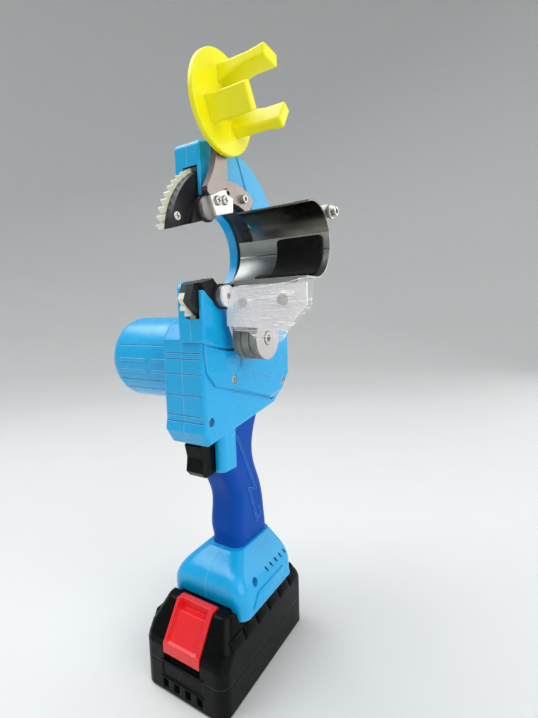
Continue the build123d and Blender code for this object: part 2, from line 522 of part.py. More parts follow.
def gear_cover():
    """Stepped cover over the gear train on the right side of the body."""
    rim = from_motor([(BODY_FRONT + 1.5, 9.0), (BODY_FRONT + 3.5, -5.0), (BODY_FRONT + 12.0, -15.4),
                      (-1.0, -24.4), (43.0, -37.2), (BODY_BACK - 9.0, -33.0), (BODY_BACK - 1.0, -20.0),
                      (BODY_BACK - 1.0, 19.0), (BODY_BACK - 10.0, 40.0), (BODY_FRONT + 1.5, 40.0)])
    face = from_motor([(BODY_FRONT + 18.0, 7.0), (BODY_FRONT + 20.0, -6.0), (-11.0, -18.0),
                       (-5.0, -20.8), (33.0, -33.0), (BODY_BACK - 16.0, -30.5), (BODY_BACK - 4.0, -18.0),
                       (BODY_BACK - 4.0, 18.0), (BODY_BACK - 13.0, 37.0), (BODY_FRONT + 18.0, 37.0)])
    rim_x = BODY_HALF_W + 1.6
    cover = prism(rim, BODY_HALF_W, rim_x)
    slope = [Plane.YZ.offset(rim_x) * outline(rim), Plane.YZ.offset(COVER_X) * outline(face)]
    cover += loft(slope, ruled=True)
    plate = outline(from_motor([(-6.0, 20.0), (-6.0, -4.8), (37.0, -18.8), (BODY_BACK - 8.0, -15.0),
                                (BODY_BACK - 7.0, 18.0), (BODY_BACK - 18.0, 30.0), (8.0, 30.0)]))
    inner = offset(plate, amount=-9.0, kind=Kind.INTERSECTION)
    for shape, top in ((plate, COVER_TOP - 1.0), (inner, COVER_TOP)):
        step = extrude(Plane.YZ.offset(COVER_X - 0.5) * shape, amount=top - COVER_X + 0.5, dir=(1, 0, 0))
        cover += chamfer(step.faces().sort_by(Axis.X)[-1].edges(), 0.7)
    cover -= rod(HEAD_R + SEAT_GAP, 0, 60, RING_Y, RING_Z)
    for y, z in COVER_SCREWS:
        cover -= screw_hole_x(y, z, COVER_SCREW_SEAT, COVER_SCREW_L)
    return cover


# Housing

body_left, body_right = body_shells()
save(body_left, "body_shell_left")
save(body_right, "body_shell_right")
save(grip_sleeve(), "grip_sleeve")
save(gear_cover(), "gear_cover")
head_left, head_right = head_shells()
save(head_left, "head_shell_left")
save(head_right, "head_shell_right")
save(Compound([screw_x(y, z, BODY_SCREW_SEAT, BODY_SCREW_L) for y, z in BODY_SCREWS]
              + [screw_x(*FOOT_SCREW, FOOT_SCREW_X, BODY_SCREW_L)]), "body_screws")
save(Compound([screw_x(y, z, HEAD_SCREW_SEAT, HEAD_SCREW_L) for y, z in HEAD_SCREWS]), "head_screws")
save(Compound([screw_x(y, z, COVER_SCREW_SEAT, COVER_SCREW_L) for y, z in COVER_SCREWS]), "cover_screws")

# Motor and gear train

barrel = fillet(rod(BARREL_R, BARREL_END, -BODY_HALF_W, MOTOR_Y, MOTOR_Z).edges().group_by(Axis.X)[0], 12.0)
barrel -= fillet(rod(BARREL_R - WALL, BARREL_END + WALL, -BODY_HALF_W + 1, MOTOR_Y, MOTOR_Z)
                 .edges().group_by(Axis.X)[0], 12.0 - WALL)
for x in (CAN_BACK + 4, CAN_FRONT - 4):
    barrel += ring(BARREL_R - 1, CAN_R, x - 2, x + 2, MOTOR_Y, MOTOR_Z)
line_x0, bar_x0, bar_x1 = BARREL_END + 12.0, BARREL_END + 13.5, -BODY_HALF_W - 2.0
break_x = bar_x1 + 0.4 * (bar_x0 - bar_x1)
at_motor = Pos(0, MOTOR_Y, MOTOR_Z)
for angle in [turn for a in BARREL_LINES for turn in (a, 180 - a)]:
    line = box(line_x0, -BODY_HALF_W + 1, -BARREL_R - 1, GROOVE_D - BARREL_R, -GROOVE_W / 2, GROOVE_W / 2)
    barrel -= at_motor * Rot(-angle, 0, 0) * line
for angle in [turn for a in BARREL_BARS for turn in (a, 180 - a)]:
    for x0, x1 in ((bar_x0, break_x - BAR_BREAK / 2), (break_x + BAR_BREAK / 2, bar_x1)):
        bar = box(x0, x1, -BARREL_R - BAR_H, 1 - BARREL_R, -BAR_W / 2, BAR_W / 2)
        barrel += at_motor * Rot(-angle, 0, 0) * bar
save(barrel, "motor_barrel")

can = rod(CAN_R, CAN_BACK, CAN_FRONT, MOTOR_Y, MOTOR_Z)
can -= rod(CAN_R - CAN_WALL, CAN_BACK + 2.4, CAN_FRONT - 2, MOTOR_Y, MOTOR_Z)
can -= rod(MOTOR_SHAFT_R + RUN_FIT, CAN_BACK - 1, CAN_FRONT + 1, MOTOR_Y, MOTOR_Z)
save(can, "motor_can")
armature = rod(MOTOR_SHAFT_R, CAN_BACK + 0.6, CAN_FRONT + 9, MOTOR_Y, MOTOR_Z)
armature += rod(CAN_R - CAN_WALL - 0.8, CAN_BACK + 9, CAN_FRONT - 9, MOTOR_Y, MOTOR_Z)
armature += rod(7.5, CAN_BACK + 3.4, CAN_BACK + 8, MOTOR_Y, MOTOR_Z)
save(armature, "motor_armature")
gearbox = rod(CAN_R, CAN_FRONT, GEARBOX_END, MOTOR_Y, MOTOR_Z)
gearbox -= rod(MOTOR_SHAFT_R + TURN_GAP, CAN_FRONT - 1, CAN_FRONT + 9.6, MOTOR_Y, MOTOR_Z)
gearbox -= rod(OUT_SHAFT_R + RUN_FIT, GEARBOX_END - 9, GEARBOX_END + 1, MOTOR_Y, MOTOR_Z)
save(gearbox, "gearbox")
save(rod(OUT_SHAFT_R, GEARBOX_END - 8.6, BODY_IN - SLIDE_GAP, MOTOR_Y, MOTOR_Z), "output_shaft")

drive = prism(gear_outline(DRIVE_TEETH, MOTOR_Y, MOTOR_Z, DRIVE_PHASE), DRIVE_X0, DRIVE_X1)
save(drive - rod(OUT_SHAFT_R, DRIVE_X0 - 1, DRIVE_X1 + 1, MOTOR_Y, MOTOR_Z), "drive_gear")
front = prism(gear_outline(FRONT_TEETH, FRONT_Y, FRONT_Z, FRONT_PHASE), DRIVE_X0, GEAR_X1)
save(front - rod(PIN_R + RUN_FIT, 0, GEAR_X1 + 1, FRONT_Y, FRONT_Z), "front_pinion")
half_way = (DRIVE_X1 + GEAR_X0) / 2
rear = prism(gear_outline(REAR_TEETH, REAR_Y, REAR_Z, REAR_DRIVE_PHASE), DRIVE_X0, half_way)
rear += prism(gear_outline(REAR_TEETH, REAR_Y, REAR_Z, REAR_PHASE), half_way, GEAR_X1)
save(rear - rod(PIN_R + RUN_FIT, 0, GEAR_X1 + 1, REAR_Y, REAR_Z), "rear_pinion")
save(Compound([rod(PIN_R, PIN_X0, PIN_X1, y, z) for y, z, _ in PINIONS]), "pinion_pins")

# Trigger and electrics

trigger_line = around([(-36.4, 24.4), (-34.1, 14.0), (-35.6, 3.6), (-32.0, -0.6), (-24.0, -0.8), (-21.0, 0.6),
                       (-10.6, 0.6), (-10.6, 22.6), (-21.0, 24.8)], 0, NECK_BOTTOM)
trigger = prism(trigger_line, -TRIGGER_W / 2, TRIGGER_W / 2)
trigger = fillet(trigger.edges().filter_by(Axis.X).group_by(Axis.Y)[0], 1.2)
trigger += box(-PLUNGER_W / 2, PLUNGER_W / 2, -11.1, SWITCH_Y0 + 2.5, PLUNGER_Z0, PLUNGER_Z1)
save(trigger, "trigger")
plunger_in = PLUNGER_W / 2 + SLIDE_GAP
switch = box(-SWITCH_W / 2, SWITCH_W / 2, SWITCH_Y0, SWITCH_Y1, SWITCH_Z0, SWITCH_Z1)
switch -= box(-plunger_in, plunger_in, SWITCH_Y0 - 1, SWITCH_Y0 + TRIGGER_TRAVEL + 5,
              PLUNGER_Z0 - SLIDE_GAP, PLUNGER_Z1 + SLIDE_GAP)
save(switch, "trigger_switch")
save(box(-BOARD_W / 2, BOARD_W / 2, BOARD_Y0, BOARD_Y1, BOARD_Z, BOARD_Z + BOARD_T), "control_board")
terminal = box(-TERMINAL_W / 2, TERMINAL_W / 2, TERMINAL_Y0, TERMINAL_Y1, RAIL_TOP + SLIDE_GAP, BOARD_Z)
blades = [box(x - BLADE_T / 2, x + BLADE_T / 2, BLADE_Y0, BLADE_Y1, BLADE_Z0, BOARD_Z - 2) for x in BLADE_X]
save(terminal - Compound(blades), "terminal_block")
save(Compound(blades), "terminal_blades")

# Battery

case_line = [(BATTERY_FRONT, 0), (BATTERY_BACK, 0), (BATTERY_BACK, BATTERY_TOP - 10.4),
             (BATTERY_BACK - 5, BATTERY_TOP), (HUMP_BACK, BATTERY_TOP), (HUMP_BACK, HUMP_TOP - 2.5),
             (HUMP_BACK - 2.5, HUMP_TOP), (BATTERY_FRONT + 16.5, HUMP_TOP),
             (BATTERY_FRONT + 1.5, BATTERY_TOP - 12.4), (BATTERY_FRONT, BATTERY_TOP - 16.4)]
case = prism(case_line, -BATTERY_W / 2, BATTERY_W / 2)
edge = BATTERY_W / 2
facet = [(edge, BATTERY_TOP - 9.4), (edge + 6, BATTERY_TOP - 9.4), (edge + 6, HUMP_TOP + 6),
         (edge - 11, HUMP_TOP + 6), (edge - 9, HUMP_TOP)]
for side in (-1, 1):
    case -= along_y([(side * x, z) for x, z in facet], BATTERY_FRONT - 9, BATTERY_BACK + 9)
corners = [e for e in case.edges() if abs(e.center().X) > edge / 2 and e.center().Z > 1
           and not BATTERY_FRONT + 11 < e.center().Y < BATTERY_BACK - 4]
case = fillet(corners, BATTERY_CORNER_R)
crown = [e for e in case.edges() if e.center().Z > HUMP_TOP - 0.3
         and (abs(e.center().X) > 1 or e.center().Y < HUMP_BACK - 5)]
case = fillet(crown, HUMP_EDGE_R)
case = chamfer(case.faces().sort_by(Axis.Z)[0].edges(), 1.6)
case += box(-RAIL_NECK_W / 2, RAIL_NECK_W / 2, HUMP_BACK - 1, RAIL_BACK, BATTERY_TOP - 1, RAIL_TOP)
case += box(-RAIL_HEAD_W / 2, RAIL_HEAD_W / 2, HUMP_BACK - 1, RAIL_BACK, RAIL_NECK_TOP, RAIL_TOP)
case -= box(CASE_SIDE - edge, edge - CASE_SIDE, BATTERY_FRONT + CASE_END, BATTERY_BACK - CASE_END,
            CASE_FLOOR, BATTERY_TOP - CASE_ROOF)
case -= box(-22, 22, HUMP_BACK + 3, RAIL_BACK - 2, BATTERY_TOP - CASE_ROOF - 1, BATTERY_TOP - 2.4)
drop = BUTTON_TRAVEL + 1.2
pocket = [(BATTERY_FRONT - 3, HUMP_TOP - 34 - drop), (BATTERY_FRONT + 3.8, HUMP_TOP - 34 - drop),
          (BATTERY_FRONT + 3.8, HUMP_TOP - 22.6 - drop), (BATTERY_FRONT + 15.4, HUMP_TOP - 7.0 - drop),
          (HUMP_BACK - 3.8, HUMP_TOP - 7.0 - drop), (HUMP_BACK - 3.8, HUMP_TOP + 6),
          (BATTERY_FRONT - 3, HUMP_TOP + 6)]
case -= prism(pocket, -BUTTON_W / 2 - SLIDE_GAP, BUTTON_W / 2 + SLIDE_GAP)
case -= box(-FRONT_PANEL_W / 2, FRONT_PANEL_W / 2, BATTERY_FRONT - 1, BATTERY_FRONT + 0.7,
            FRONT_PANEL_Z0, FRONT_PANEL_Z1)
for k in range(FRONT_VENTS):
    x = (k - (FRONT_VENTS - 1) / 2) * (FRONT_PANEL_W - FRONT_VENT_W) / (FRONT_VENTS - 1)
    case -= box(x - FRONT_VENT_W / 2, x + FRONT_VENT_W / 2, BATTERY_FRONT - 1, BATTERY_FRONT + 3,
                FRONT_PANEL_Z0 - 1.5 - FRONT_VENT_H, FRONT_PANEL_Z0 - 1.5)
contacts = []
for x in BLADE_X:
    x0, x1 = x - CONTACT_HALF_W, x + CONTACT_HALF_W
    case -= box(x0, x1, BLADE_Y0 - 1.5, RAIL_BACK + 1, BLADE_Z0 - 1.2, RAIL_TOP + 1)
    contact = box(x0, x1, BLADE_Y0 + 1, BLADE_Y0 + 8, BLADE_Z0 - 1.2, RAIL_TOP - SLIDE_GAP)
    open_half = BLADE_T / 2 + SLIDE_GAP
    contacts.append(contact - box(x - open_half, x + open_half, BLADE_Y0, BLADE_Y1, BLADE_Z0 - 0.5, RAIL_TOP))
screw_x0, screw_y0, screw_z0, screw_l = BATTERY_W / 2 - 7, BATTERY_L / 2 - 5.5, 2.4, BATTERY_SPLIT + 8
case_screws = []
for x in (-screw_x0, screw_x0):
    for y in (-screw_y0, screw_y0):
        shank = bar_z(SCREW_R, screw_z0, screw_l, x, y)
        case -= shank + bar_z(COUNTERBORE_R, -1, screw_z0, x, y)
        case_screws.append(shank + bar_z(SCREW_HEAD_R, screw_z0 - SCREW_HEAD_H, screw_z0, x, y))
save(Compound(contacts), "battery_contacts")
save(Compound(case_screws), "battery_screws")
save(case & box(-60, 60, -80, 80, -1, BATTERY_SPLIT), "battery_case_lower")
save(case & box(-60, 60, -80, 80, BATTERY_SPLIT, 2 * HUMP_TOP), "battery_case_upper")
cells = [rod(CELL_R, -CELL_L / 2, CELL_L / 2, (i - (CELL_COLUMNS - 1) / 2) * CELL_PITCH,
             CASE_FLOOR + SEAT_GAP + CELL_R + j * CELL_PITCH)
         for i in range(CELL_COLUMNS) for j in range(CELL_LAYERS)]
save(Compound(cells), "battery_cells")
button_line = [(BATTERY_FRONT - 0.4, HUMP_TOP - 31), (BATTERY_FRONT + 2.8, HUMP_TOP - 34),
               (BATTERY_FRONT + 3.2, HUMP_TOP - 22.6), (BATTERY_FRONT + 14.8, HUMP_TOP - 7.0),
               (HUMP_BACK - 4.3, HUMP_TOP - 7.0), (HUMP_BACK - 4.3, HUMP_TOP + 0.9),
               (HUMP_BACK - 6, HUMP_TOP + 2),
               (BATTERY_FRONT + 15.8, HUMP_TOP + 2), (BATTERY_FRONT - 0.2, HUMP_TOP - 22)]
dish = [(BATTERY_FRONT - 3, HUMP_TOP - 25), (BATTERY_FRONT + 2, HUMP_TOP - 21.8),
        (BATTERY_FRONT + 13.6, HUMP_TOP - 5.2), (BATTERY_FRONT + 18.4, HUMP_TOP - 5.2),
        (BATTERY_FRONT + 17.4, HUMP_TOP + 4), (BATTERY_FRONT - 3, HUMP_TOP + 4)]
button = prism(button_line, -BUTTON_W / 2, BUTTON_W / 2)
face_edges = [e for e in button.edges() if abs(e.center().X) > BUTTON_W / 2 - 0.1
              and e.center().Z > HUMP_TOP - 28
              and e.center().Y - e.center().Z < BATTERY_FRONT + 22 - HUMP_TOP]
button = fillet(face_edges, BUTTON_EDGE_R)
save(button - prism(dish, BUTTON_RIM - BUTTON_W / 2, BUTTON_W / 2 - BUTTON_RIM), "release_button")

# Rotor

ROTOR_MOUTH = from_ring([(-75, 0.2), (-57, 6.0), (-24, 16.8), (-4, 10), (-4, -10), (-24, -22.0),
                         (-36, -24.7), (-43.2, -42.0), (-75, -42.0)])
gear_ring = prism(gear_outline(RING_TEETH, RING_Y, RING_Z, FIRST_TOOTH, MISSING), GEAR_X0, GEAR_X1)
gear_ring += ring(LIP_OUT_R + LIP_T, LIP_OUT_R + RUN_FIT, DRIVE_X0 + 0.8, GEAR_X0)
gear_ring -= rod(ROTOR_BORE + 1.0, GEAR_X0 - 0.1, GEAR_X1 + 1, RING_Y, RING_Z)
gear_ring -= prism(ROTOR_MOUTH, 0, HUB_X1 + 1)
plate = ring(PLATE_R, ROTOR_BORE, GEAR_X1, PLATE_X1) + ring(HUB_R, ROTOR_BORE, PLATE_X1, HUB_X1)
plate -= prism(ROTOR_MOUTH, 0, HUB_X1 + 1)
plate += sector(ROTOR_BORE + 1, TROUGH_R, 205, 250, GEAR_X1, HUB_X1)
rotor_screws = []
for angle in (18, 90, 150, 210, 280):
    y, z = at(ROTOR_SCREW_R, angle)
    hole = rod(SCREW_R, GEAR_X0 - 1, HUB_X1 + 1, y, z)
    gear_ring -= hole
    plate -= hole + rod(COUNTERBORE_R, PLATE_X1 - 1.6, HUB_X1 + 1, y, z)
    rotor_screws.append(screw_x(y, z, PLATE_X1 - 1.6, 8, head_h=1.6))
for place in POST_AT:
    plate -= rod(POST_STUD_R, GEAR_X1 + 2, HUB_X1 + 1, *at(*place))
rod_y, rod_z = at(*ROD_AT)
plate += rod(2 * ROD_R, PLATE_X1, HUB_X1, rod_y, rod_z)
plate -= rod(ROD_R, PLATE_X1 - 3, HUB_X1 + 1, rod_y, rod_z)
for place in ARM_FOOT_AT:
    plate -= rod(SCREW_R, PLATE_X1 - 4, HUB_X1 + 1, *at(*place))
save(gear_ring, "ring_gear")
save(plate, "rotor_plate")
save(Compound(rotor_screws), "rotor_screws")

posts = [at(*place) for place in POST_AT]
save(Compound([ring(BUSH_R, POST_STUD_R, HUB_X1, BUSH_X1, y, z) for y, z in posts]), "post_bushes")
studs = [rod(POST_R, BUSH_X1, x, y, z) + rod(POST_STUD_R, GEAR_X1 + 2, BUSH_X1, y, z)
         for x, (y, z) in zip((ARM_X0, FLANGE_X0), posts)]
studs[1] += rod(POST_STUD_R, FLANGE_X0, FLANGE_X0 + FLANGE_T, *posts[1])
save(Compound(studs), "bracket_posts")

# Tape arm, its clamp and the tape holder

arm_line = [(ARM_Y0, at(40, 62)[1] + 2), (ARM_Y1, at(40, 75)[1] - 2), (ARM_Y1, HOLDER_Z),
            (ARM_Y0, HOLDER_Z)]
arm = prism(arm_line, ARM_X0, ARM_X1) + rod(ARM_W / 2 + 1.6, ARM_X0, ARM_X1, HOLDER_Y, HOLDER_Z)
# The arm's front edge swings out to the clamp
flare = Spline(*from_ring([(-24.0, 62.0), (-25.4, 51.0), (-29.4, 42.0), (-34.4, 34.0)]))
flare += Polyline(*from_ring([(-34.4, 34.0), (-34.6, 31.0), (-32.6, 29.0), CLAMP_TOP[0], CLAMP_TOP[1],
                              (-18.0, 62.0), (-24.0, 62.0)]))
arm += extrude(Plane.YZ.offset(ARM_X0) * make_face(flare), amount=ARM_T, dir=(1, 0, 0))
arm += sector(45.0, ROTOR_BORE + 0.6, 62, 122, HUB_X1, ARM_X0)
arm -= rod(BUSH_R + 0.2, HUB_X1 - 1, ARM_X0, *posts[0])
arm -= rod(SPINDLE_R, ARM_X0 - 1, ARM_X1 + 1, HOLDER_Y, HOLDER_Z)
for place in ARM_FOOT_AT:
    arm -= rod(SCREW_R, HUB_X1 - 1, ARM_X0 + 1, *at(*place))
save(arm, "tape_arm")
clamp_line = from_ring([*CLAMP_TOP, (-10.4, 33.8), (-4.6, 33.0), (-5.0, 23.6), (-23.2, 18.2)])
clamp = prism(clamp_line, ARM_X0, CLAMP_X1) - prism(arm_line, ARM_X0 - 1, ARM_X1)
for place in CLAMP_SCREW_AT + ARM_FOOT_AT[:1]:
    clamp -= rod(SCREW_R, ARM_X0 - 1, CLAMP_X1 + 1, *at(*place))
save(clamp, "clamp_plate")
clamp_screws = [screw_x(*at(*place), CLAMP_X1, CLAMP_T - 0.1, CLAMP_SCREW_R, 1.6) for place in CLAMP_SCREW_AT]
save(Compound(clamp_screws), "clamp_screws")
save(socket_screw_x(*at(*ARM_FOOT_AT[1]), ARM_X0, 3.0, 8.0), "arm_screw")

holder_face, hub_end = HOLDER_X0 + HOLDER_T, HOLDER_X0 + HOLDER_HUB_L
holder = fillet(rod(HOLDER_R, HOLDER_X0, holder_face, HOLDER_Y, HOLDER_Z).edges(), 0.3 * HOLDER_T)
for angle, length in PRONGS:
    root, end = holder_face - 0.5, HOLDER_X0 + length
    lip = PRONG_LIP if length == max(reach for _, reach in PRONGS) else 0.0
    inner = PRONG_T - PRONG_R
    prong_line = [(root, -PRONG_R), (end - 12, -PRONG_R), (end, -PRONG_R - lip), (end, inner),
                  (root + PRONG_ROOT_L, inner), (root, inner + PRONG_ROOT_T)]
    prong = extrude(Pos(0, 0, -PRONG_W / 2) * outline(prong_line), amount=PRONG_W, dir=(0, 0, 1))
    prong = fillet([e for e in prong.edges() if e.center().X > root + 1], PRONG_EDGE_R)
    holder += Pos(0, HOLDER_Y, HOLDER_Z) * Rot(-angle, 0, 0) * prong
holder += rod(HOLDER_HUB_R, HOLDER_X0, hub_end, HOLDER_Y, HOLDER_Z)
save(holder - rod(SPINDLE_R + RUN_FIT, HOLDER_X0 - 1, hub_end + 1, HOLDER_Y, HOLDER_Z), "tape_holder")
save(ring(2 * SPINDLE_R, SPINDLE_R, ARM_X1, HOLDER_X0 - SEAT_GAP, HOLDER_Y, HOLDER_Z), "holder_washer")
spindle_seat = hub_end + SLIDE_GAP
spindle = rod(SPINDLE_R, ARM_X0, spindle_seat, HOLDER_Y, HOLDER_Z)
spindle += rod(SPINDLE_HEAD_R, spindle_seat, spindle_seat + SPINDLE_HEAD_H, HOLDER_Y, HOLDER_Z)
save(spindle - hexagon(HOLDER_Y, HOLDER_Z, spindle_seat + 1.2, 2.6, SPINDLE_HEAD_H), "holder_spindle")

# Harness trough with its top panel, pad and guide roller

trough_in = TROUGH_R - TROUGH_T
trough = sector(TROUGH_R, trough_in, TROUGH_SPLIT, 270, TROUGH_X0, TROUGH_X1)
sill_x0 = WHEEL_X0 + 4
trough += box(sill_x0, TROUGH_X1, BRACKET_Y1, RING_Y, FLOOR_Z, FLOOR_Z + TROUGH_T)
trough += box(sill_x0, TROUGH_X1 - 6, BRACKET_Y1, BRACKET_Y1 + TROUGH_T, FLOOR_Z - 21.5, FLOOR_Z + TROUGH_T)
panel = sector(TROUGH_R, trough_in, 84, TROUGH_SPLIT, CLAMP_X1, TROUGH_X1)
panel += sector(TROUGH_R, trough_in, 68, 90, TROUGH_X1 - 10, TROUGH_X1)
ear_r, ear_a = ROD_AT
ear = [at(TROUGH_R - 0.6, ear_a - 14), at(ear_r, ear_a - 8), at(ear_r, ear_a + 8),
       at(TROUGH_R - 0.6, ear_a + 14)]
panel += prism(ear, TROUGH_X1 - TROUGH_T, TROUGH_X1)
panel += rod(ROD_COLLAR_R + 0.6, TROUGH_X1 - TROUGH_T, TROUGH_X1, rod_y, rod_z)
save(panel - rod(SCREW_R, TROUGH_X1 - 5, TROUGH_X1 + 5, rod_y, rod_z), "trough_panel")
pad_end = TROUGH_X1 - PAD_END
pad = sector(trough_in, trough_in - PAD_T, TROUGH_SPLIT + 3, 250, pad_end - PAD_L, pad_end)
pad += sector(trough_in, trough_in - 0.7 * PAD_T, 234, 250, pad_end - PAD_L - PAD_TAIL, pad_end - PAD_L + 1)
save(pad, "trough_pad")
roller_x0 = CLAMP_X1
guide_rod = rod(ROD_R, PLATE_X1 - 3, TROUGH_X1 - TROUGH_T, rod_y, rod_z)
guide_rod += ring(ROD_COLLAR_R, ROD_R, HUB_X1, roller_x0 - SLIDE_GAP, rod_y, rod_z)
save(guide_rod - rod(SCREW_R, TROUGH_X1 - 9, TROUGH_X1 + 1, rod_y, rod_z), "guide_rod")
roller = ring(ROLLER_R, ROD_R + RUN_FIT, roller_x0, TROUGH_X1 - TROUGH_T - SLIDE_GAP, rod_y, rod_z)
roller = chamfer(roller.edges().filter_by(GeomType.CIRCLE).sort_by(SortBy.RADIUS)[-2:], 0.6)
save(roller, "guide_roller")
washer_t = 0.8
save(ring(ROD_COLLAR_R + 0.4, SCREW_R, TROUGH_X1, TROUGH_X1 + washer_t, rod_y, rod_z), "rod_washer")
save(socket_screw_x(rod_y, rod_z, TROUGH_X1 + washer_t, 3.4, 9.0), "rod_screw")

# Lower bracket, its film and the knurled wheel

plate_end = TROUGH_X1 + 0.6
bracket_line = [(sill_x0, FLOOR_Z - 2.9), (plate_end, FLOOR_Z - 2.9), (plate_end, FLOOR_Z - 16.5),
                (plate_end - 4.6, FLOOR_Z - 20.5), (plate_end - 15.6, FLOOR_Z - 31.5),
                (FLANGE_X0, FLOOR_Z - 28.9), (FLANGE_X0, FLOOR_Z - 19.0)]
bracket = along_y(bracket_line, BRACKET_Y0, BRACKET_Y1)
post_y, post_z = posts[1]
flange_line = [(BRACKET_Y1 - 0.2, FLOOR_Z - 28.9), (BRACKET_Y1 - 0.2, FLOOR_Z - 19.0),
               (post_y, post_z), (post_y + 5, post_z), (WHEEL_Y + 8, WHEEL_Z + 6),
               (WHEEL_Y + 8, WHEEL_Z - 8), (WHEEL_Y - 8, WHEEL_Z - 8)]
bracket += prism(flange_line, FLANGE_X0, FLANGE_X0 + FLANGE_T)
bracket += rod(POST_R, FLANGE_X0, FLANGE_X0 + FLANGE_T, post_y, post_z)
bracket -= rod(AXLE_R, 0, WHEEL_X0, WHEEL_Y, WHEEL_Z) + rod(POST_STUD_R, 0, WHEEL_X0, post_y, post_z)
bracket_screws = []
for x, z in BRACKET_SCREWS:
    shank = bar_y(SCREW_R, BRACKET_Y0, BRACKET_Y1 + 2 * TROUGH_T, x, z)
    bracket -= shank
    trough -= shank
    bracket_screws.append(shank + bar_y(SCREW_HEAD_R - 0.2, BRACKET_Y0 - 1.6, BRACKET_Y0, x, z))
save(bracket, "lower_bracket")
save(trough, "guide_trough")
save(Compound(bracket_screws), "bracket_screws")
film_line = [(max(x, FLANGE_X0 + FLANGE_T + 1.6), z) for x, z in bracket_line]
film_y0 = BRACKET_Y0 - 2.6
film = along_y(film_line, film_y0, BRACKET_Y0, 1.2)
save(film - along_y(film_line, film_y0 + FILM_T, BRACKET_Y0 + 1, 1.2 - FILM_T), "bracket_film")

disc_l = (WHEEL_L - WHEEL_GROOVE * (WHEEL_DISCS - 1)) / WHEEL_DISCS
wheel = rod(WHEEL_R - 2.0, WHEEL_X0, WHEEL_X1, WHEEL_Y, WHEEL_Z)
for k in range(WHEEL_DISCS):
    x = WHEEL_X0 + k * (disc_l + WHEEL_GROOVE)
    wheel += chamfer(rod(WHEEL_R, x, x + disc_l, WHEEL_Y, WHEEL_Z).edges().filter_by(GeomType.CIRCLE), 0.5)
wheel -= rod(AXLE_R + RUN_FIT, 0, WHEEL_X1 + 1, WHEEL_Y, WHEEL_Z)
wheel -= rod(AXLE_HEAD_R + 2 * SLIDE_GAP, WHEEL_X1 - 3.0, WHEEL_X1 + 1, WHEEL_Y, WHEEL_Z)
save(wheel, "knurled_wheel")
head_x0, head_x1 = WHEEL_X1 - 3.0 + SLIDE_GAP, WHEEL_X1 + 0.6
bolt = rod(AXLE_R, FLANGE_X0, head_x0, WHEEL_Y, WHEEL_Z)
bolt += rod(AXLE_HEAD_R, head_x0, head_x1, WHEEL_Y, WHEEL_Z)
save(bolt - hexagon(WHEEL_Y, WHEEL_Z, head_x1 - 1.6, 2.6, 5), "wheel_bolt")
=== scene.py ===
import json
import math

import bmesh
import bpy
from mathutils import Matrix, Vector, noise

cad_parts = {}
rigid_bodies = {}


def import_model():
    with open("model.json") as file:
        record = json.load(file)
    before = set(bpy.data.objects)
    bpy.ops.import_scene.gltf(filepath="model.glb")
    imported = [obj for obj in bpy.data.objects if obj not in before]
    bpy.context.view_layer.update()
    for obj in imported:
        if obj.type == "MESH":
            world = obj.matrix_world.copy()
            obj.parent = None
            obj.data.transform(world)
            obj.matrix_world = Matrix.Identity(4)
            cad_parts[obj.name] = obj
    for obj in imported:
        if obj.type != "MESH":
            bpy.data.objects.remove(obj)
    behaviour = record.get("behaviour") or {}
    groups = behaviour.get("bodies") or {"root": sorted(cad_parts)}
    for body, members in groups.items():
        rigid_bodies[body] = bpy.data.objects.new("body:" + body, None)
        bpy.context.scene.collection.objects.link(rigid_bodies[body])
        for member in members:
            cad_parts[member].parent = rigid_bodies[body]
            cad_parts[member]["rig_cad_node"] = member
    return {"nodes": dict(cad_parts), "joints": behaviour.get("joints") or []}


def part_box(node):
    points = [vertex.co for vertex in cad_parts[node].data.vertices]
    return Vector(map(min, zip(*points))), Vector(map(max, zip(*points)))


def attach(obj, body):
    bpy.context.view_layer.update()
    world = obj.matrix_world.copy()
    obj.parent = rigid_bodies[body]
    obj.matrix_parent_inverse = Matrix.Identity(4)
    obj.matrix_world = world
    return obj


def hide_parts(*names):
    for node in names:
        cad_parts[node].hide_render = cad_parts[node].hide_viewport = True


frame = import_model()
for thing in list(bpy.context.scene.objects):
    if "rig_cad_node" not in thing and not thing.name.startswith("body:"):
        bpy.data.objects.remove(thing)
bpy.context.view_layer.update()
MM = 0.001
SAME = 1e-4  # points of a shape nearer than this are one point
ROTOR_AXIS = Vector(next(j["pos_m"] for j in frame["joints"] if j["name"] == "rotor_spin")) / MM

bl_info = {
    "name": "Harness taping tool",
    "version": (1, 0, 0),
    "blender": (4, 5, 0),
    "location": "View3D > Sidebar > Taping tool",
    "description": "Finishes, soft pieces and studio for a cordless harness taping tool",
    "category": "Object",
}


# Small helpers

def linear(code):
    """Turns an sRGB hex code into linear red, green, blue and a full alpha."""
    parts = [int(code[i:i + 2], 16) / 255 for i in (0, 2, 4)]
    return tuple(c / 12.92 if c <= 0.04045 else ((c + 0.055) / 1.055) ** 2.4 for c in parts) + (1.0,)


def opaque(colour):
    """A colour property with a full alpha."""
    return tuple(colour) + (1.0,)


def shade(colour, share):
    """A colour made darker, or lighter above 1, with a full alpha."""
    return tuple(min(1.0, c * share) for c in colour[:3]) + (1.0,)


def per(size_mm):
    """The texture scale whose features are this size."""
    return 1 / (size_mm * MM)


def clamp(value):
    """A value kept between 0 and 1."""
    return max(0.0, min(1.0, value))


def ridges(u, v, seed, sharpness):
    """A field of random crests: 1 along a crest, falling to 0 beside it."""
    return 1 - min(1.0, sharpness * abs(noise.noise(Vector((u, v, seed)))))


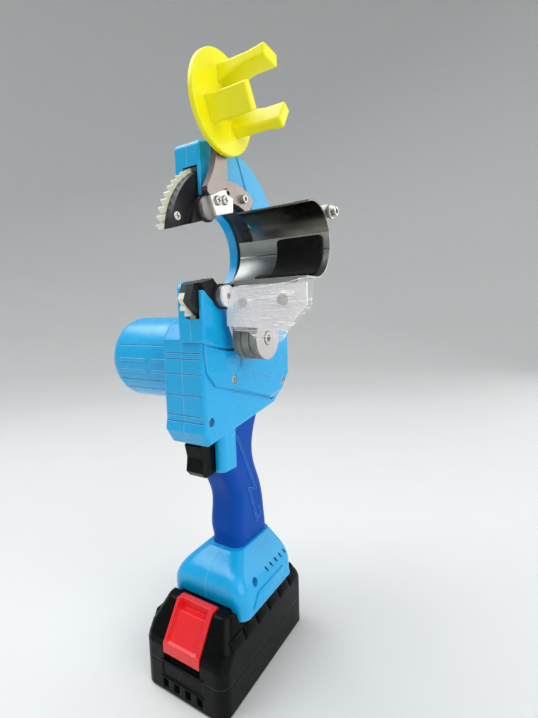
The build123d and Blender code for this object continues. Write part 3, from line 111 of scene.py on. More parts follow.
def add(tree, kind, sockets=None, **settings):
    """Adds a shader node with its settings; each socket gets a value, or a link from another node's output,
    which is the first one where the node itself is given."""
    node = tree.nodes.new("ShaderNode" + kind)
    for name, value in settings.items():
        setattr(node, name, value)
    for key, value in (sockets or {}).items():
        if isinstance(value, bpy.types.Node):
            value = value.outputs[0]
        if isinstance(value, bpy.types.NodeSocket):
            tree.links.new(value, node.inputs[key])
        else:
            node.inputs[key].default_value = value
    return node


def start(name):
    """Starts a material: its node tree and the Object coordinates that every pattern reads."""
    material = bpy.data.materials.new(name)
    material.use_nodes = True
    tree = material.node_tree
    tree.nodes.clear()
    return material, tree, add(tree, "TexCoord").outputs["Object"]


def dress(material, *names):
    """Gives CAD nodes a finish."""
    for name in names:
        node = frame["nodes"][name]
        if not node.material_slots:
            node.data.materials.append(material)
        for holder in node.material_slots:
            holder.material = material


def box_mm(node):
    """A CAD node's lowest and highest corner in millimetres."""
    low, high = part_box(node)
    return low / MM, high / MM


def whole(shape):
    """All points, edges and faces of a shape."""
    return shape.verts[:] + shape.edges[:] + shape.faces[:]


def spun(points, centre, axis, steps, closed=False):
    """A shape made by spinning a line of points a full turn round an axis."""
    shape = bmesh.new()
    verts = [shape.verts.new(point) for point in points]
    line = verts[-1:] * closed + verts
    edges = [shape.edges.new(pair) for pair in zip(line, line[1:])]
    bmesh.ops.spin(shape, geom=verts + edges, cent=centre, axis=axis, angle=2 * math.pi, steps=steps,
                   use_merge=True)
    bmesh.ops.remove_doubles(shape, verts=shape.verts, dist=SAME)
    bmesh.ops.recalc_face_normals(shape, faces=shape.faces)
    return shape


def smooth_object(name, shape, *materials):
    """Makes a shape a smooth object at the origin."""
    bmesh.ops.recalc_face_normals(shape, faces=shape.faces)
    mesh = bpy.data.meshes.new(name)
    shape.to_mesh(mesh)
    shape.free()
    for material in materials:
        mesh.materials.append(material)
    mesh.shade_smooth()
    made = bpy.data.objects.new(name, mesh)
    bpy.context.scene.collection.objects.link(made)
    return made


def piece(name, shape, body, slot, *materials, sharp=40.0):
    """Makes a shape drawn in millimetres an object that rides on a body, sharp at edges above an angle."""
    bmesh.ops.scale(shape, vec=(MM, MM, MM), verts=shape.verts)
    made = smooth_object(name, shape, *materials)
    made.data.set_sharp_from_angle(angle=math.radians(sharp))
    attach(made, body)
    return made


def round_edges(shape, edges, size, segments=3):
    """Rounds edges by a size in millimetres."""
    bmesh.ops.bevel(shape, geom=edges, offset=size, offset_type="OFFSET", segments=segments, profile=0.5,
                    affect="EDGES", material=-1, clamp_overlap=True)


def bar(shape, size, middle, rounding, turn=0.0):
    """Adds a bar with rounded edges, turned about Y by degrees, and returns its vertices."""
    solid = bmesh.ops.create_cube(shape, size=1.0)["verts"]
    bmesh.ops.scale(shape, vec=size, verts=solid)
    edges = list({edge for vertex in solid for edge in vertex.link_edges})
    known = set(shape.verts) - set(solid)
    round_edges(shape, edges, rounding)
    solid = [vertex for vertex in shape.verts if vertex not in known]
    turned = Matrix.Rotation(math.radians(turn), 3, "Y")
    bmesh.ops.rotate(shape, verts=solid, cent=(0, 0, 0), matrix=turned)
    bmesh.ops.translate(shape, vec=middle, verts=solid)
    return solid


# Materials. The sockets of a Mix node share their names, so they go by number: 0 is the share, 6 and 7 are
# the two colours, and output 2 is the mixed colour.

def moulded(name, base, deep, rubbed, roughness, grain_mm, depth_mm, round_mm, wear=0.6, web=None, **shader):
    """A moulded plastic or rubber. Its colour drifts slowly over the wall, the mould's grain breaks up the
    highlights, handling changes the gloss in patches, and the rounded edges are painted paler: a painted
    highlight, with some wear. A web is a second colour inside a radius round the rotor axis."""
    drift_mm, edge_breakup_mm, touch_mm = 26, 6, 11
    shinier, duller = 0.05, 0.07
    material, tree, place = start(name)
    drift = add(tree, "TexNoise", {"Vector": place, "Scale": per(drift_mm), "Detail": 3.0})
    tone = add(tree, "Mix", {0: drift, 6: base, 7: deep}, data_type="RGBA")
    rounding = add(tree, "Bevel", {"Radius": round_mm * MM}, samples=8)
    surface = add(tree, "NewGeometry")
    turn = add(tree, "VectorMath", {0: rounding, 1: surface.outputs["Normal"]}, operation="DOT_PRODUCT")
    # Where the rounded normal turns from the true one, the edge is painted paler: a painted highlight, with
    # some wear
    edge = add(tree, "MapRange", {"Value": turn.outputs["Value"], "From Min": 0.97, "From Max": 0.8,
                                  "To Max": wear})
    edge_breakup = add(tree, "TexNoise", {"Vector": place, "Scale": per(edge_breakup_mm), "Detail": 4.0})
    highlight_and_wear_mask = add(tree, "Math", {0: edge, 1: edge_breakup}, operation="MULTIPLY")
    colour = add(tree, "Mix", {0: highlight_and_wear_mask, 6: tone.outputs[2], 7: rubbed}, data_type="RGBA")
    if web:
        web_colour, web_radius_mm = web
        centred = add(tree, "VectorMath", {0: place, 1: ROTOR_AXIS * MM}, operation="SUBTRACT")
        across = add(tree, "VectorMath", {0: centred, 1: (0.0, 1.0, 1.0)}, operation="MULTIPLY")
        out = add(tree, "VectorMath", {0: across}, operation="LENGTH")
        outside = add(tree, "Math", {0: out.outputs["Value"], 1: web_radius_mm * MM},
                      operation="GREATER_THAN")
        colour = add(tree, "Mix", {0: outside, 6: web_colour, 7: colour.outputs[2]}, data_type="RGBA")
    touched = add(tree, "TexNoise", {"Vector": place, "Scale": per(touch_mm), "Detail": 4.0})
    gloss = add(tree, "MapRange", {"Value": touched, "From Min": 0.3, "From Max": 0.7,
                                   "To Min": roughness - shinier, "To Max": roughness + duller})
    grain = add(tree, "TexNoise", {"Vector": place, "Scale": per(grain_mm), "Detail": 2.0})
    relief = add(tree, "Bump", {"Distance": depth_mm * MM, "Height": grain, "Normal": rounding})
    skin = add(tree, "BsdfPrincipled", {"Base Color": colour.outputs[2], "Roughness": gloss, "Normal": relief,
                                        **shader})
    add(tree, "OutputMaterial", {"Surface": skin})
    return material


def metal(name, base, deep, roughness, lines_mm, depth_mm, round_mm, painted_edge_shade=None, **shader):
    """A worked metal. lines_mm is the length of its tool marks along X, Y and Z, so long marks are brushed
    and equal ones are cast or blasted. Fingerprints dull it in patches and its edges catch the light. A plate
    that lies across X may have its edge faces, those that don't face along X, painted in a darker colour as
    shade."""
    smudge_mm, faces_x = 18, 0.8
    shinier, duller = 0.03, 0.07
    material, tree, place = start(name)
    marked = add(tree, "Mapping", {"Vector": place, "Scale": tuple(per(mm) for mm in lines_mm)})
    marks = add(tree, "TexNoise", {"Vector": marked, "Scale": 1.0, "Detail": 3.0})
    smudge = add(tree, "TexNoise", {"Vector": place, "Scale": per(smudge_mm), "Detail": 2.0})
    both = add(tree, "Math", {0: marks, 1: smudge}, operation="MULTIPLY")
    tone = add(tree, "MapRange", {"Value": both, "From Min": 0.05, "From Max": 0.5})
    colour = add(tree, "Mix", {0: tone, 6: deep, 7: base}, data_type="RGBA")
    # Faces that don't face along X are painted darker: a painted shade on the plate's edges
    if painted_edge_shade:
        surface = add(tree, "NewGeometry")
        parts = add(tree, "SeparateXYZ", {0: surface.outputs["Normal"]})
        across = add(tree, "Math", {0: parts.outputs["X"]}, operation="ABSOLUTE")
        flat = add(tree, "Math", {0: across, 1: faces_x}, operation="GREATER_THAN")
        colour = add(tree, "Mix", {0: flat, 6: painted_edge_shade, 7: colour.outputs[2]}, data_type="RGBA")
    gloss = add(tree, "MapRange", {"Value": smudge, "From Min": 0.3, "From Max": 0.7,
                                   "To Min": roughness - shinier, "To Max": roughness + duller})
    rounding = add(tree, "Bevel", {"Radius": round_mm * MM}, samples=4)
    relief = add(tree, "Bump", {"Distance": depth_mm * MM, "Height": marks, "Normal": rounding})
    skin = add(tree, "BsdfPrincipled", {"Base Color": colour.outputs[2], "Roughness": gloss, "Normal": relief,
                                        "Metallic": 1.0, **shader})
    add(tree, "OutputMaterial", {"Surface": skin})
    return material


def bent_sheet(name, base, deep, roughness, crease_deg):
    """Polished stainless sheet rolled along X: fine rolling lines, soft smudges, and the pale line of one
    press-brake bend at an angle round the rotor axis."""
    lines_mm, smudge_mm = (45, 1.1, 1.1), 10
    line_depth_mm, bend_depth_mm, bend_half_mm, edge_mm = 0.012, 0.35, 0.8, 0.3
    material, tree, place = start(name)
    rolled = add(tree, "Mapping", {"Vector": place, "Scale": tuple(per(mm) for mm in lines_mm)})
    lines = add(tree, "TexNoise", {"Vector": rolled, "Scale": 1.0, "Detail": 3.0})
    smudge = add(tree, "TexNoise", {"Vector": place, "Scale": per(smudge_mm), "Detail": 4.0})
    centred = add(tree, "VectorMath", {0: place, 1: ROTOR_AXIS * MM}, operation="SUBTRACT")
    angle = math.radians(crease_deg)
    across = (0, math.sin(angle), math.cos(angle))
    off_bend = add(tree, "VectorMath", {0: centred, 1: across}, operation="DOT_PRODUCT")
    near_bend = add(tree, "Math", {0: off_bend.outputs["Value"]}, operation="ABSOLUTE")
    bend = add(tree, "MapRange", {"Value": near_bend, "From Min": bend_half_mm * MM, "From Max": 0.0})
    tone = add(tree, "Mix", {0: smudge, 6: base, 7: deep}, data_type="RGBA")
    gloss = add(tree, "MapRange", {"Value": smudge, "From Min": 0.35, "From Max": 0.7, "To Min": roughness,
                                   "To Max": roughness + 0.08})
    rounding = add(tree, "Bevel", {"Radius": edge_mm * MM}, samples=4)
    brushed = add(tree, "Bump", {"Distance": line_depth_mm * MM, "Height": lines, "Normal": rounding})
    folded = add(tree, "Bump", {"Distance": bend_depth_mm * MM, "Height": bend, "Normal": brushed})
    skin = add(tree, "BsdfPrincipled", {"Base Color": tone.outputs[2], "Roughness": gloss, "Normal": folded,
                                        "Metallic": 1.0})
    add(tree, "OutputMaterial", {"Surface": skin})
    return material


def turned_face(name, base, deep, centre_mm):
    """Faced steel: the lathe leaves rings round the bore that spread the highlight to two soft fans. Real
    rings are a tenth of a millimetre apart and are drawn coarser here so that they show."""
    ring_mm, smudge_mm, ring_depth_mm = 20, 8, 0.01
    material, tree, place = start(name)
    centred = add(tree, "VectorMath", {0: place, 1: centre_mm * MM}, operation="SUBTRACT")
    rings = add(tree, "TexWave", {"Vector": centred, "Scale": per(ring_mm), "Distortion": 0.4, "Detail": 2.0},
                wave_type="RINGS", rings_direction="X")
    smudge = add(tree, "TexNoise", {"Vector": place, "Scale": per(smudge_mm), "Detail": 3.0})
    tone = add(tree, "Mix", {0: smudge, 6: base, 7: deep}, data_type="RGBA")
    gloss = add(tree, "MapRange", {"Value": smudge, "To Min": 0.3, "To Max": 0.48})
    relief = add(tree, "Bump", {"Distance": ring_depth_mm * MM, "Height": rings.outputs[1]})
    skin = add(tree, "BsdfPrincipled", {"Base Color": tone.outputs[2], "Roughness": gloss, "Normal": relief,
                                        "Metallic": 0.35})
    add(tree, "OutputMaterial", {"Surface": skin})
    return material


def knurled(name, base, deep):
    """Knurled steel: bright on the points of the diamonds, dark at their roots and in the grooves, a painted
    shade with some old adhesive. The knurl is finer in fact and drawn coarser so that it shows."""
    smudge_mm = 9
    material, tree, place = start(name)
    root = add(tree, "Attribute", attribute_name="knurl_root")
    smudge = add(tree, "TexNoise", {"Vector": place, "Scale": per(smudge_mm), "Detail": 3.0})
    shade_and_grime = add(tree, "Math", {0: root.outputs["Fac"], 1: smudge}, operation="ADD")
    dark = add(tree, "MapRange", {"Value": shade_and_grime, "From Min": 0.5, "From Max": 1.5})
    colour = add(tree, "Mix", {0: dark, 6: base, 7: deep}, data_type="RGBA")
    gloss = add(tree, "MapRange", {"Value": dark, "To Min": 0.34, "To Max": 0.6})
    skin = add(tree, "BsdfPrincipled", {"Base Color": colour.outputs[2], "Roughness": gloss, "Metallic": 0.8})
    add(tree, "OutputMaterial", {"Surface": skin})
    return material


def stretch_film(name, colour, heads_mm):
    """Stretched polyethylene film: clear and glossy over the plate, with thin white creases that run the way
    it was pulled, up to the right, and a faint haze where it lies double. Over the screw heads, at these
    places in X and Z, it is pulled clear."""
    folds_mm, pull_deg, fold_depth_mm, layer_mm = (38, 38, 3.6), 14, 0.6, 16
    clear_mm, covered_mm, left_over_head = 3.2, 4.8, 0.06
    material, tree, place = start(name)
    pulled = add(tree, "Mapping", {"Vector": place, "Rotation": (0.0, math.radians(pull_deg), 0.0),
                                   "Scale": tuple(per(mm) for mm in folds_mm)})
    folds = add(tree, "TexNoise", {"Vector": pulled, "Scale": 1.0, "Detail": 2.0, "Distortion": 0.6})
    off_crest = add(tree, "Math", {0: folds, 1: 0.5}, operation="SUBTRACT")
    near_crest = add(tree, "Math", {0: off_crest}, operation="ABSOLUTE")
    crease = add(tree, "MapRange", {"Value": near_crest, "From Min": 0.045, "From Max": 0.0, "To Max": 0.8})
    layers = add(tree, "TexNoise", {"Vector": place, "Scale": per(layer_mm), "Detail": 2.0})
    haze = add(tree, "MapRange", {"Value": layers, "From Min": 0.4, "From Max": 0.68, "To Min": 0.12,
                                  "To Max": 0.5})
    cover = add(tree, "Math", {0: haze, 1: crease}, operation="ADD", use_clamp=True)
    for x, z in heads_mm:
        off_head = add(tree, "VectorMath", {0: place, 1: (x * MM, 0.0, z * MM)}, operation="SUBTRACT")
        flat = add(tree, "VectorMath", {0: off_head, 1: (1.0, 0.0, 1.0)}, operation="MULTIPLY")
        away = add(tree, "VectorMath", {0: flat}, operation="LENGTH")
        hidden = add(tree, "MapRange", {"Value": away.outputs["Value"], "From Min": clear_mm * MM,
                                        "From Max": covered_mm * MM, "To Min": left_over_head})
        cover = add(tree, "Math", {0: cover, 1: hidden}, operation="MULTIPLY")
    relief = add(tree, "Bump", {"Distance": fold_depth_mm * MM, "Height": folds})
    skin = add(tree, "BsdfPrincipled", {"Base Color": colour, "Roughness": 0.12, "IOR": 1.51, "Alpha": cover,
                                        "Normal": relief})
    add(tree, "OutputMaterial", {"Surface": skin})
    return material


def fleece(name, base, deep):
    """Black fleece lining: a short pile that swallows light, with a dull sheen at grazing angles. The pile
    is finer in fact and drawn at about a millimetre so that it shows."""
    pile_mm, lay_mm, pile_depth_mm = 1.2, 7, 0.5
    material, tree, place = start(name)
    pile = add(tree, "TexNoise", {"Vector": place, "Scale": per(pile_mm), "Detail": 5.0, "Roughness": 0.7})
    lay = add(tree, "TexNoise", {"Vector": place, "Scale": per(lay_mm), "Detail": 2.0})
    both = add(tree, "Math", {0: pile, 1: lay}, operation="MULTIPLY")
    tone = add(tree, "MapRange", {"Value": both, "From Min": 0.12, "From Max": 0.4})
    colour = add(tree, "Mix", {0: tone, 6: deep, 7: base}, data_type="RGBA")
    relief = add(tree, "Bump", {"Distance": pile_depth_mm * MM, "Height": both})
    skin = add(tree, "BsdfPrincipled", {"Base Color": colour.outputs[2], "Roughness": 0.96,
                                        "Specular IOR Level": 0.15, "Sheen Weight": 0.12,
                                        "Sheen Roughness": 0.5, "Normal": relief})
    add(tree, "OutputMaterial", {"Surface": skin})
    return material


def studio_paper(name, colour):
    """Seamless backdrop paper: matt, with a barely seen mottle."""
    mottle_mm = 60
    material, tree, place = start(name)
    mottle = add(tree, "TexNoise", {"Vector": place, "Scale": per(mottle_mm), "Detail": 3.0})
    tone = add(tree, "Mix", {0: mottle, 6: colour, 7: shade(colour, 0.97)}, data_type="RGBA")
    skin = add(tree, "BsdfPrincipled", {"Base Color": tone.outputs[2], "Roughness": 0.8,
                                        "Specular IOR Level": 0.2})
    add(tree, "OutputMaterial", {"Surface": skin})
    return material


# What a user would change

def colour_of(label, words, code):
    """A colour property with its default from a hex code."""
    return bpy.props.FloatVectorProperty(name=label, description=words, subtype="COLOR", size=3, min=0.0,
                                         max=1.0, default=linear(code)[:3])


class TapingToolColours(bpy.types.PropertyGroup):
    """The colours of the plastics."""
    housing: colour_of("Housing", "Blue of the shells, head, gear cover and motor barrel", "08B2F0")
    grip: colour_of("Grip", "Deep blue of the rubber sleeve", "0050B6")
    battery: colour_of("Battery", "Black of the battery case", "080A0A")
    button: colour_of("Release button", "Red of the battery's release button", "F4232B")
    holder: colour_of("Tape holder", "Yellow of the tape holder", "FFF800")
    gear: colour_of("Gears", "Ivory of the nylon gears and the guide roller", "EDEFDC")
    rotor: colour_of("Rotor", "Black of the rotor plate", "29292D")


class TapingToolSizes(bpy.types.PropertyGroup):
    """The sizes of the pieces made here."""
    film_fold: bpy.props.FloatProperty(name="Film fold", description="Height of the film's folds",
                                       default=1.5 * MM, min=0.0, max=2.2 * MM, unit="LENGTH")
    pad_crown: bpy.props.FloatProperty(name="Pad crown", description="How much the pad thins at its edges",
                                       default=0.9 * MM, min=0.0, max=1.5 * MM, unit="LENGTH")
    knurls: bpy.props.IntProperty(name="Knurls", description="Knurls round the wheel", default=36, min=24,
                                  max=160)
    knurl_depth: bpy.props.FloatProperty(name="Knurl depth", description="Depth of the wheel's knurling",
                                         default=0.58 * MM, min=0.0, max=0.7 * MM, unit="LENGTH")
    rib_pitch: bpy.props.FloatProperty(name="Rib pitch", description="Spacing of the battery's side ribs",
                                       default=16.6 * MM, min=8.0 * MM, max=30.0 * MM, unit="LENGTH")
    rib_count: bpy.props.IntProperty(name="Ribs", description="Ribs along each side of the battery",
                                     default=6, min=1, max=7)


class TapingToolStudio(bpy.types.PropertyGroup):
    """The studio round the tool."""
    paper: colour_of("Backdrop", "Colour of the floor and backdrop", "E8EAEA")
    key: bpy.props.FloatProperty(name="Key light", description="Power of the light overhead",
                                 default=18.0, min=0.0, unit="POWER")
    fill: bpy.props.FloatProperty(name="Fill light", description="Power of the light at the right",
                                  default=9.0, min=0.0, unit="POWER")
    sky: bpy.props.FloatProperty(name="Sky", description="Strength of the even light from all round",
                                 default=0.3, min=0.0)


# Operators: one for each piece or group of like pieces

class TAPING_OT_housing(bpy.types.Operator):
    """Finish the blue shells, head halves, gear cover and motor barrel, and add the foot's bands"""
    bl_idname = "taping.housing"
    bl_label = "Housing"

    def execute(self, context):
        blue = opaque(context.scene.taping_colours.housing)
        # ABS from a satin mould: bright even blue, broad soft highlights, edges painted pale as a highlight
        abs_blue = moulded("satin_blue_abs", blue, shade(blue, 0.86), linear("A6E6FF"), roughness=0.24,
                           grain_mm=2.4, depth_mm=0.003, round_mm=1.0, wear=1.2, IOR=1.5,
                           **{"Specular IOR Level": 0.5})
        dress(abs_blue, "body_shell_left", "body_shell_right", "head_shell_left", "head_shell_right",
              "gear_cover", "motor_barrel")
        # A raised band along the foot's lower edge on both sides, its front end slanted
        thickness, length, height, rounding, slant = 3.0, 46.0, 10.0, 1.1, 0.8
        middle_x, middle_y = 35.2, 6.0
        bottom = box_mm("body_shell_right")[0].z + 3.0
        middle = (middle_x, middle_y, bottom + height / 2)
        shape = bmesh.new()
        for vertex in bar(shape, (thickness, length, height), middle, rounding):
            if vertex.co.y < middle_y:
                vertex.co.y += slant * (vertex.co.z - bottom)
        bmesh.ops.mirror(shape, geom=whole(shape), axis="X", merge_dist=0.0)
        piece("foot_steps", shape, "body", "housing_blue", abs_blue)
        return {"FINISHED"}


class TAPING_OT_grip(bpy.types.Operator):
    """Finish the rubber grip sleeve"""
    bl_idname = "taping.grip"
    bl_label = "Grip sleeve"

    def execute(self, context):
        blue = opaque(context.scene.taping_colours.grip)
        # Thermoplastic rubber from a spark-eroded mould: deep blue, nearly matt, its edges painted a little
        # paler as a highlight
        dress(moulded("deep_blue_rubber", blue, shade(blue, 0.72), linear("4FA0F8"), roughness=0.42,
                      grain_mm=1.8, depth_mm=0.012, round_mm=1.1, wear=2.6, IOR=1.5,
                      **{"Specular IOR Level": 0.12}), "grip_sleeve")
        return {"FINISHED"}


class TAPING_OT_drive(bpy.types.Operator):
    """Finish the motor, gearbox, shafts and nylon gears, and the guide's rod and roller"""
    bl_idname = "taping.drive"
    bl_label = "Drive train"

    def execute(self, context):
        ivory = opaque(context.scene.taping_colours.gear)
        # Natural nylon: ivory, waxy, light goes a little way into the teeth
        look = dict(base=ivory, deep=shade(ivory, 0.9), rubbed=linear("FBFBF2"), roughness=0.4, grain_mm=1.1,
                    depth_mm=0.015, round_mm=0.3, wear=0.5, IOR=1.53)
        soft = {"Subsurface Weight": 0.12, "Subsurface Radius": (0.002, 0.002, 0.0015)}
        dress(moulded("natural_nylon", **look, **soft), "front_pinion", "rear_pinion", "guide_roller")
        # The ring is black inside its teeth, because ivory shows at the teeth alone
        web_radius_mm = 49.0
        dress(moulded("nylon_ring_teeth", web=(linear("1B1B1E"), web_radius_mm), **look), "ring_gear")
        # Ground steel: bright, with fine marks round and along the shafts
        ground = metal("ground_shaft_steel", linear("C6C8C8"), linear("8F9292"), roughness=0.24,
                       lines_mm=(0.8, 5, 5), depth_mm=0.01, round_mm=0.25)
        dress(ground, "guide_rod", "output_shaft", "pinion_pins", "drive_gear", "motor_armature")
        # Zinc plated steel: greyer and cloudier than ground steel
        dress(metal("zinc_plated_can", linear("B4B7B8"), linear("7D8182"), roughness=0.34, lines_mm=(6, 6, 6),
                    depth_mm=0.01, round_mm=0.4), "motor_can")
        # Die cast aluminium: grey, evenly rough skin
        dress(metal("cast_gearbox_alloy", linear("A6A8A7"), linear("77797A"), roughness=0.46,
                    lines_mm=(1.4, 1.4, 1.4), depth_mm=0.04, round_mm=0.5), "gearbox")
        return {"FINISHED"}


class TAPING_OT_rotor(bpy.types.Operator):
    """Finish the rotor plate, its bushes, the holder's spindle and all screws but the bracket's"""
    bl_idname = "taping.rotor"
    bl_label = "Rotor and screws"

    def execute(self, context):
        black = opaque(context.scene.taping_colours.rotor)
        # Machined acetal: black with a dull shine, its edges painted grey: a painted highlight, with some
        # wear from the tape and the wires
        acetal = moulded("black_machined_acetal", black, shade(black, 0.6), linear("66666C"), roughness=0.38,
                         grain_mm=1.3, depth_mm=0.01, round_mm=0.5, wear=0.6, IOR=1.48,
                         **{"Specular IOR Level": 0.25})
        dress(acetal, "rotor_plate", "post_bushes")
        # Nickel plated screws: small bright heads
        nickel = metal("nickel_screw_steel", linear("D6D5D1"), linear("9B9A96"), roughness=0.22,
                       lines_mm=(2, 2, 2), depth_mm=0.008, round_mm=0.25)
        dress(nickel, "arm_screw", "battery_screws", "body_screws", "clamp_screws", "cover_screws",
              "head_screws", "rod_screw", "rotor_screws", "wheel_bolt", "holder_spindle")
        return {"FINISHED"}


class TAPING_OT_tape_arm(bpy.types.Operator):
    """Finish the tape arm with its clamp, the washers and posts, and the tape holder"""
    bl_idname = "taping.tape_arm"
    bl_label = "Tape arm and holder"

    def execute(self, context):
        # Laser cut and tumbled steel: warm grey, soft shine, marks along the arm, its edge faces painted dark
        # as shade
        dress(metal("tumbled_arm_steel", linear("B4AAA4"), linear("9C938D"), roughness=0.45,
                    lines_mm=(1.2, 1.2, 14), depth_mm=0.008, round_mm=0.5, painted_edge_shade=linear("4A4643")), "tape_arm")
        # Brushed nickel plate: bright with fine lines
        plate = metal("brushed_nickel_plate", linear("F4F2EE"), linear("E2E0DB"), roughness=0.34,
                      lines_mm=(30, 0.9, 0.9), depth_mm=0.006, round_mm=0.5, Metallic=0.6)
        dress(plate, "clamp_plate", "holder_washer", "rod_washer")
        # Turned steel posts: a duller grey
        dress(metal("turned_post_steel", linear("A5A19E"), linear("85817E"), roughness=0.42,
                    lines_mm=(4, 4, 4), depth_mm=0.008, round_mm=0.4, Metallic=0.7), "bracket_posts")
        yellow = opaque(context.scene.taping_colours.holder)
        # Moulded polypropylene: strong yellow, waxy, light goes a little way in
        dress(moulded("yellow_polypropylene", yellow, shade(yellow, 0.9), linear("FFF66A"), roughness=0.36,
                      grain_mm=1.4, depth_mm=0.02, round_mm=1.6, wear=0.5, IOR=1.49,
                      **{"Subsurface Weight": 0.08, "Subsurface Radius": (0.003, 0.002, 0.0005)}),
              "tape_holder")
        return {"FINISHED"}


class TAPING_OT_trough(bpy.types.Operator):
    """Finish the polished harness trough and its top panel"""
    bl_idname = "taping.trough"
    bl_label = "Harness trough"

    def execute(self, context):
        dress(bent_sheet("polished_trough_sheet", linear("A9ABA8"), linear("939592"), roughness=0.36,
                         crease_deg=8.0), "guide_trough")
        # The top panel is painted darker than steel: a painted dark reflection
        dress(bent_sheet("polished_panel_painted_dark", linear("7B7870"), linear("5F5D56"), roughness=0.2,
                         crease_deg=60.0), "trough_panel")
        return {"FINISHED"}


class TAPING_OT_pad(bpy.types.Operator):
    """Line the trough with its fleece pad"""
    bl_idname = "taping.pad"
    bl_label = "Fleece pad"

    def execute(self, context):
        crown = context.scene.taping_sizes.pad_crown / MM
        low, high = box_mm("trough_pad")
        # The pad lies at this radius and between these angles round the rotor axis
        seat, first_deg, last_deg, tail_deg = 22.74, 162.0, 250.0, 234.0
        main_length, main_height, tail_height, tail_lap = 35.0, 2.5, 1.7, 3
        corner, lid_from, lid_rounding = 3.2, 1.5, 1.1
        step_mm, tuft_height, tuft_scale = 1.4, 0.22, 0.7
        main_x = high.x - main_length
        run = math.radians(last_deg - first_deg) * seat
        tail_run = math.radians(tail_deg - first_deg) * seat
        shape = bmesh.new()
        # Two flat blocks with round corners, the second the low tail
        for x0, x1, s0, height in ((main_x, high.x, 0.0, main_height),
                                   (low.x, main_x + tail_lap, tail_run, tail_height)):
            solid = bmesh.ops.create_cube(shape, size=1.0)["verts"]
            bmesh.ops.scale(shape, vec=(x1 - x0, run - s0, height), verts=solid)
            bmesh.ops.translate(shape, vec=((x0 + x1) / 2, (run + s0) / 2, height / 2), verts=solid)
            edges = list({edge for vertex in solid for edge in vertex.link_edges})
            upright = [e for e in edges if abs(e.verts[0].co.z - e.verts[1].co.z) > 0.5 * height]
            round_edges(shape, upright, corner, segments=4)
        lid = [e for e in shape.edges if min(v.co.z for v in e.verts) > lid_from]
        round_edges(shape, lid, lid_rounding)
        # Cut to a grid, so that the blocks can bend
        for step in range(1, int(run / step_mm)):
            bmesh.ops.bisect_plane(shape, geom=whole(shape), dist=SAME,
                                   plane_co=(0, step * step_mm, 0), plane_no=(0, 1, 0))
        for step in range(1, int((high.x - low.x) / step_mm)):
            bmesh.ops.bisect_plane(shape, geom=whole(shape), dist=SAME,
                                   plane_co=(low.x + step * step_mm, 0, 0), plane_no=(1, 0, 0))
        # The flat blocks are crowned, tufted and laid round the trough
        for vertex in shape.verts:
            x, along, height = vertex.co
            edge = max(abs(2 * (x - main_x) / main_length - 1), abs(2 * along / run - 1))
            tuft = tuft_height * noise.noise(vertex.co * tuft_scale) * min(1.0, height)
            height = height * (1 - crown / main_height * min(1.0, edge) ** 3) + tuft
            angle = math.radians(first_deg) + along / seat
            vertex.co = (x, ROTOR_AXIS.y - (seat - height) * math.cos(angle),
                         ROTOR_AXIS.z + (seat - height) * math.sin(angle))
        pad = piece("fleece_pad", shape, "rotor", "pad_fleece",
                    fleece("black_fleece", linear("17161A"), linear("060607")), sharp=80.0)
        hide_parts("trough_pad")
        return {"FINISHED"}


class TAPING_OT_bracket(bpy.types.Operator):
    """Finish the lower bracket and its screws"""
    bl_idname = "taping.bracket"
    bl_label = "Lower bracket"

    def execute(self, context):
        # Brushed stainless plate: bright, with fine lines along its length
        dress(metal("brushed_stainless_bracket", linear("FBF8F9"), linear("EEEAEC"), roughness=0.45,
                    lines_mm=(35, 0.9, 0.9), depth_mm=0.006, round_mm=0.5, Metallic=0.25), "lower_bracket")
        # Bright zinc plated screws: pale heads with a darker rim
        dress(metal("bright_zinc_screw", linear("E6E4E0"), linear("C9C6C1"), roughness=0.3,
                    lines_mm=(2, 2, 2), depth_mm=0.008, round_mm=0.9, Metallic=0.5), "bracket_screws")
        return {"FINISHED"}


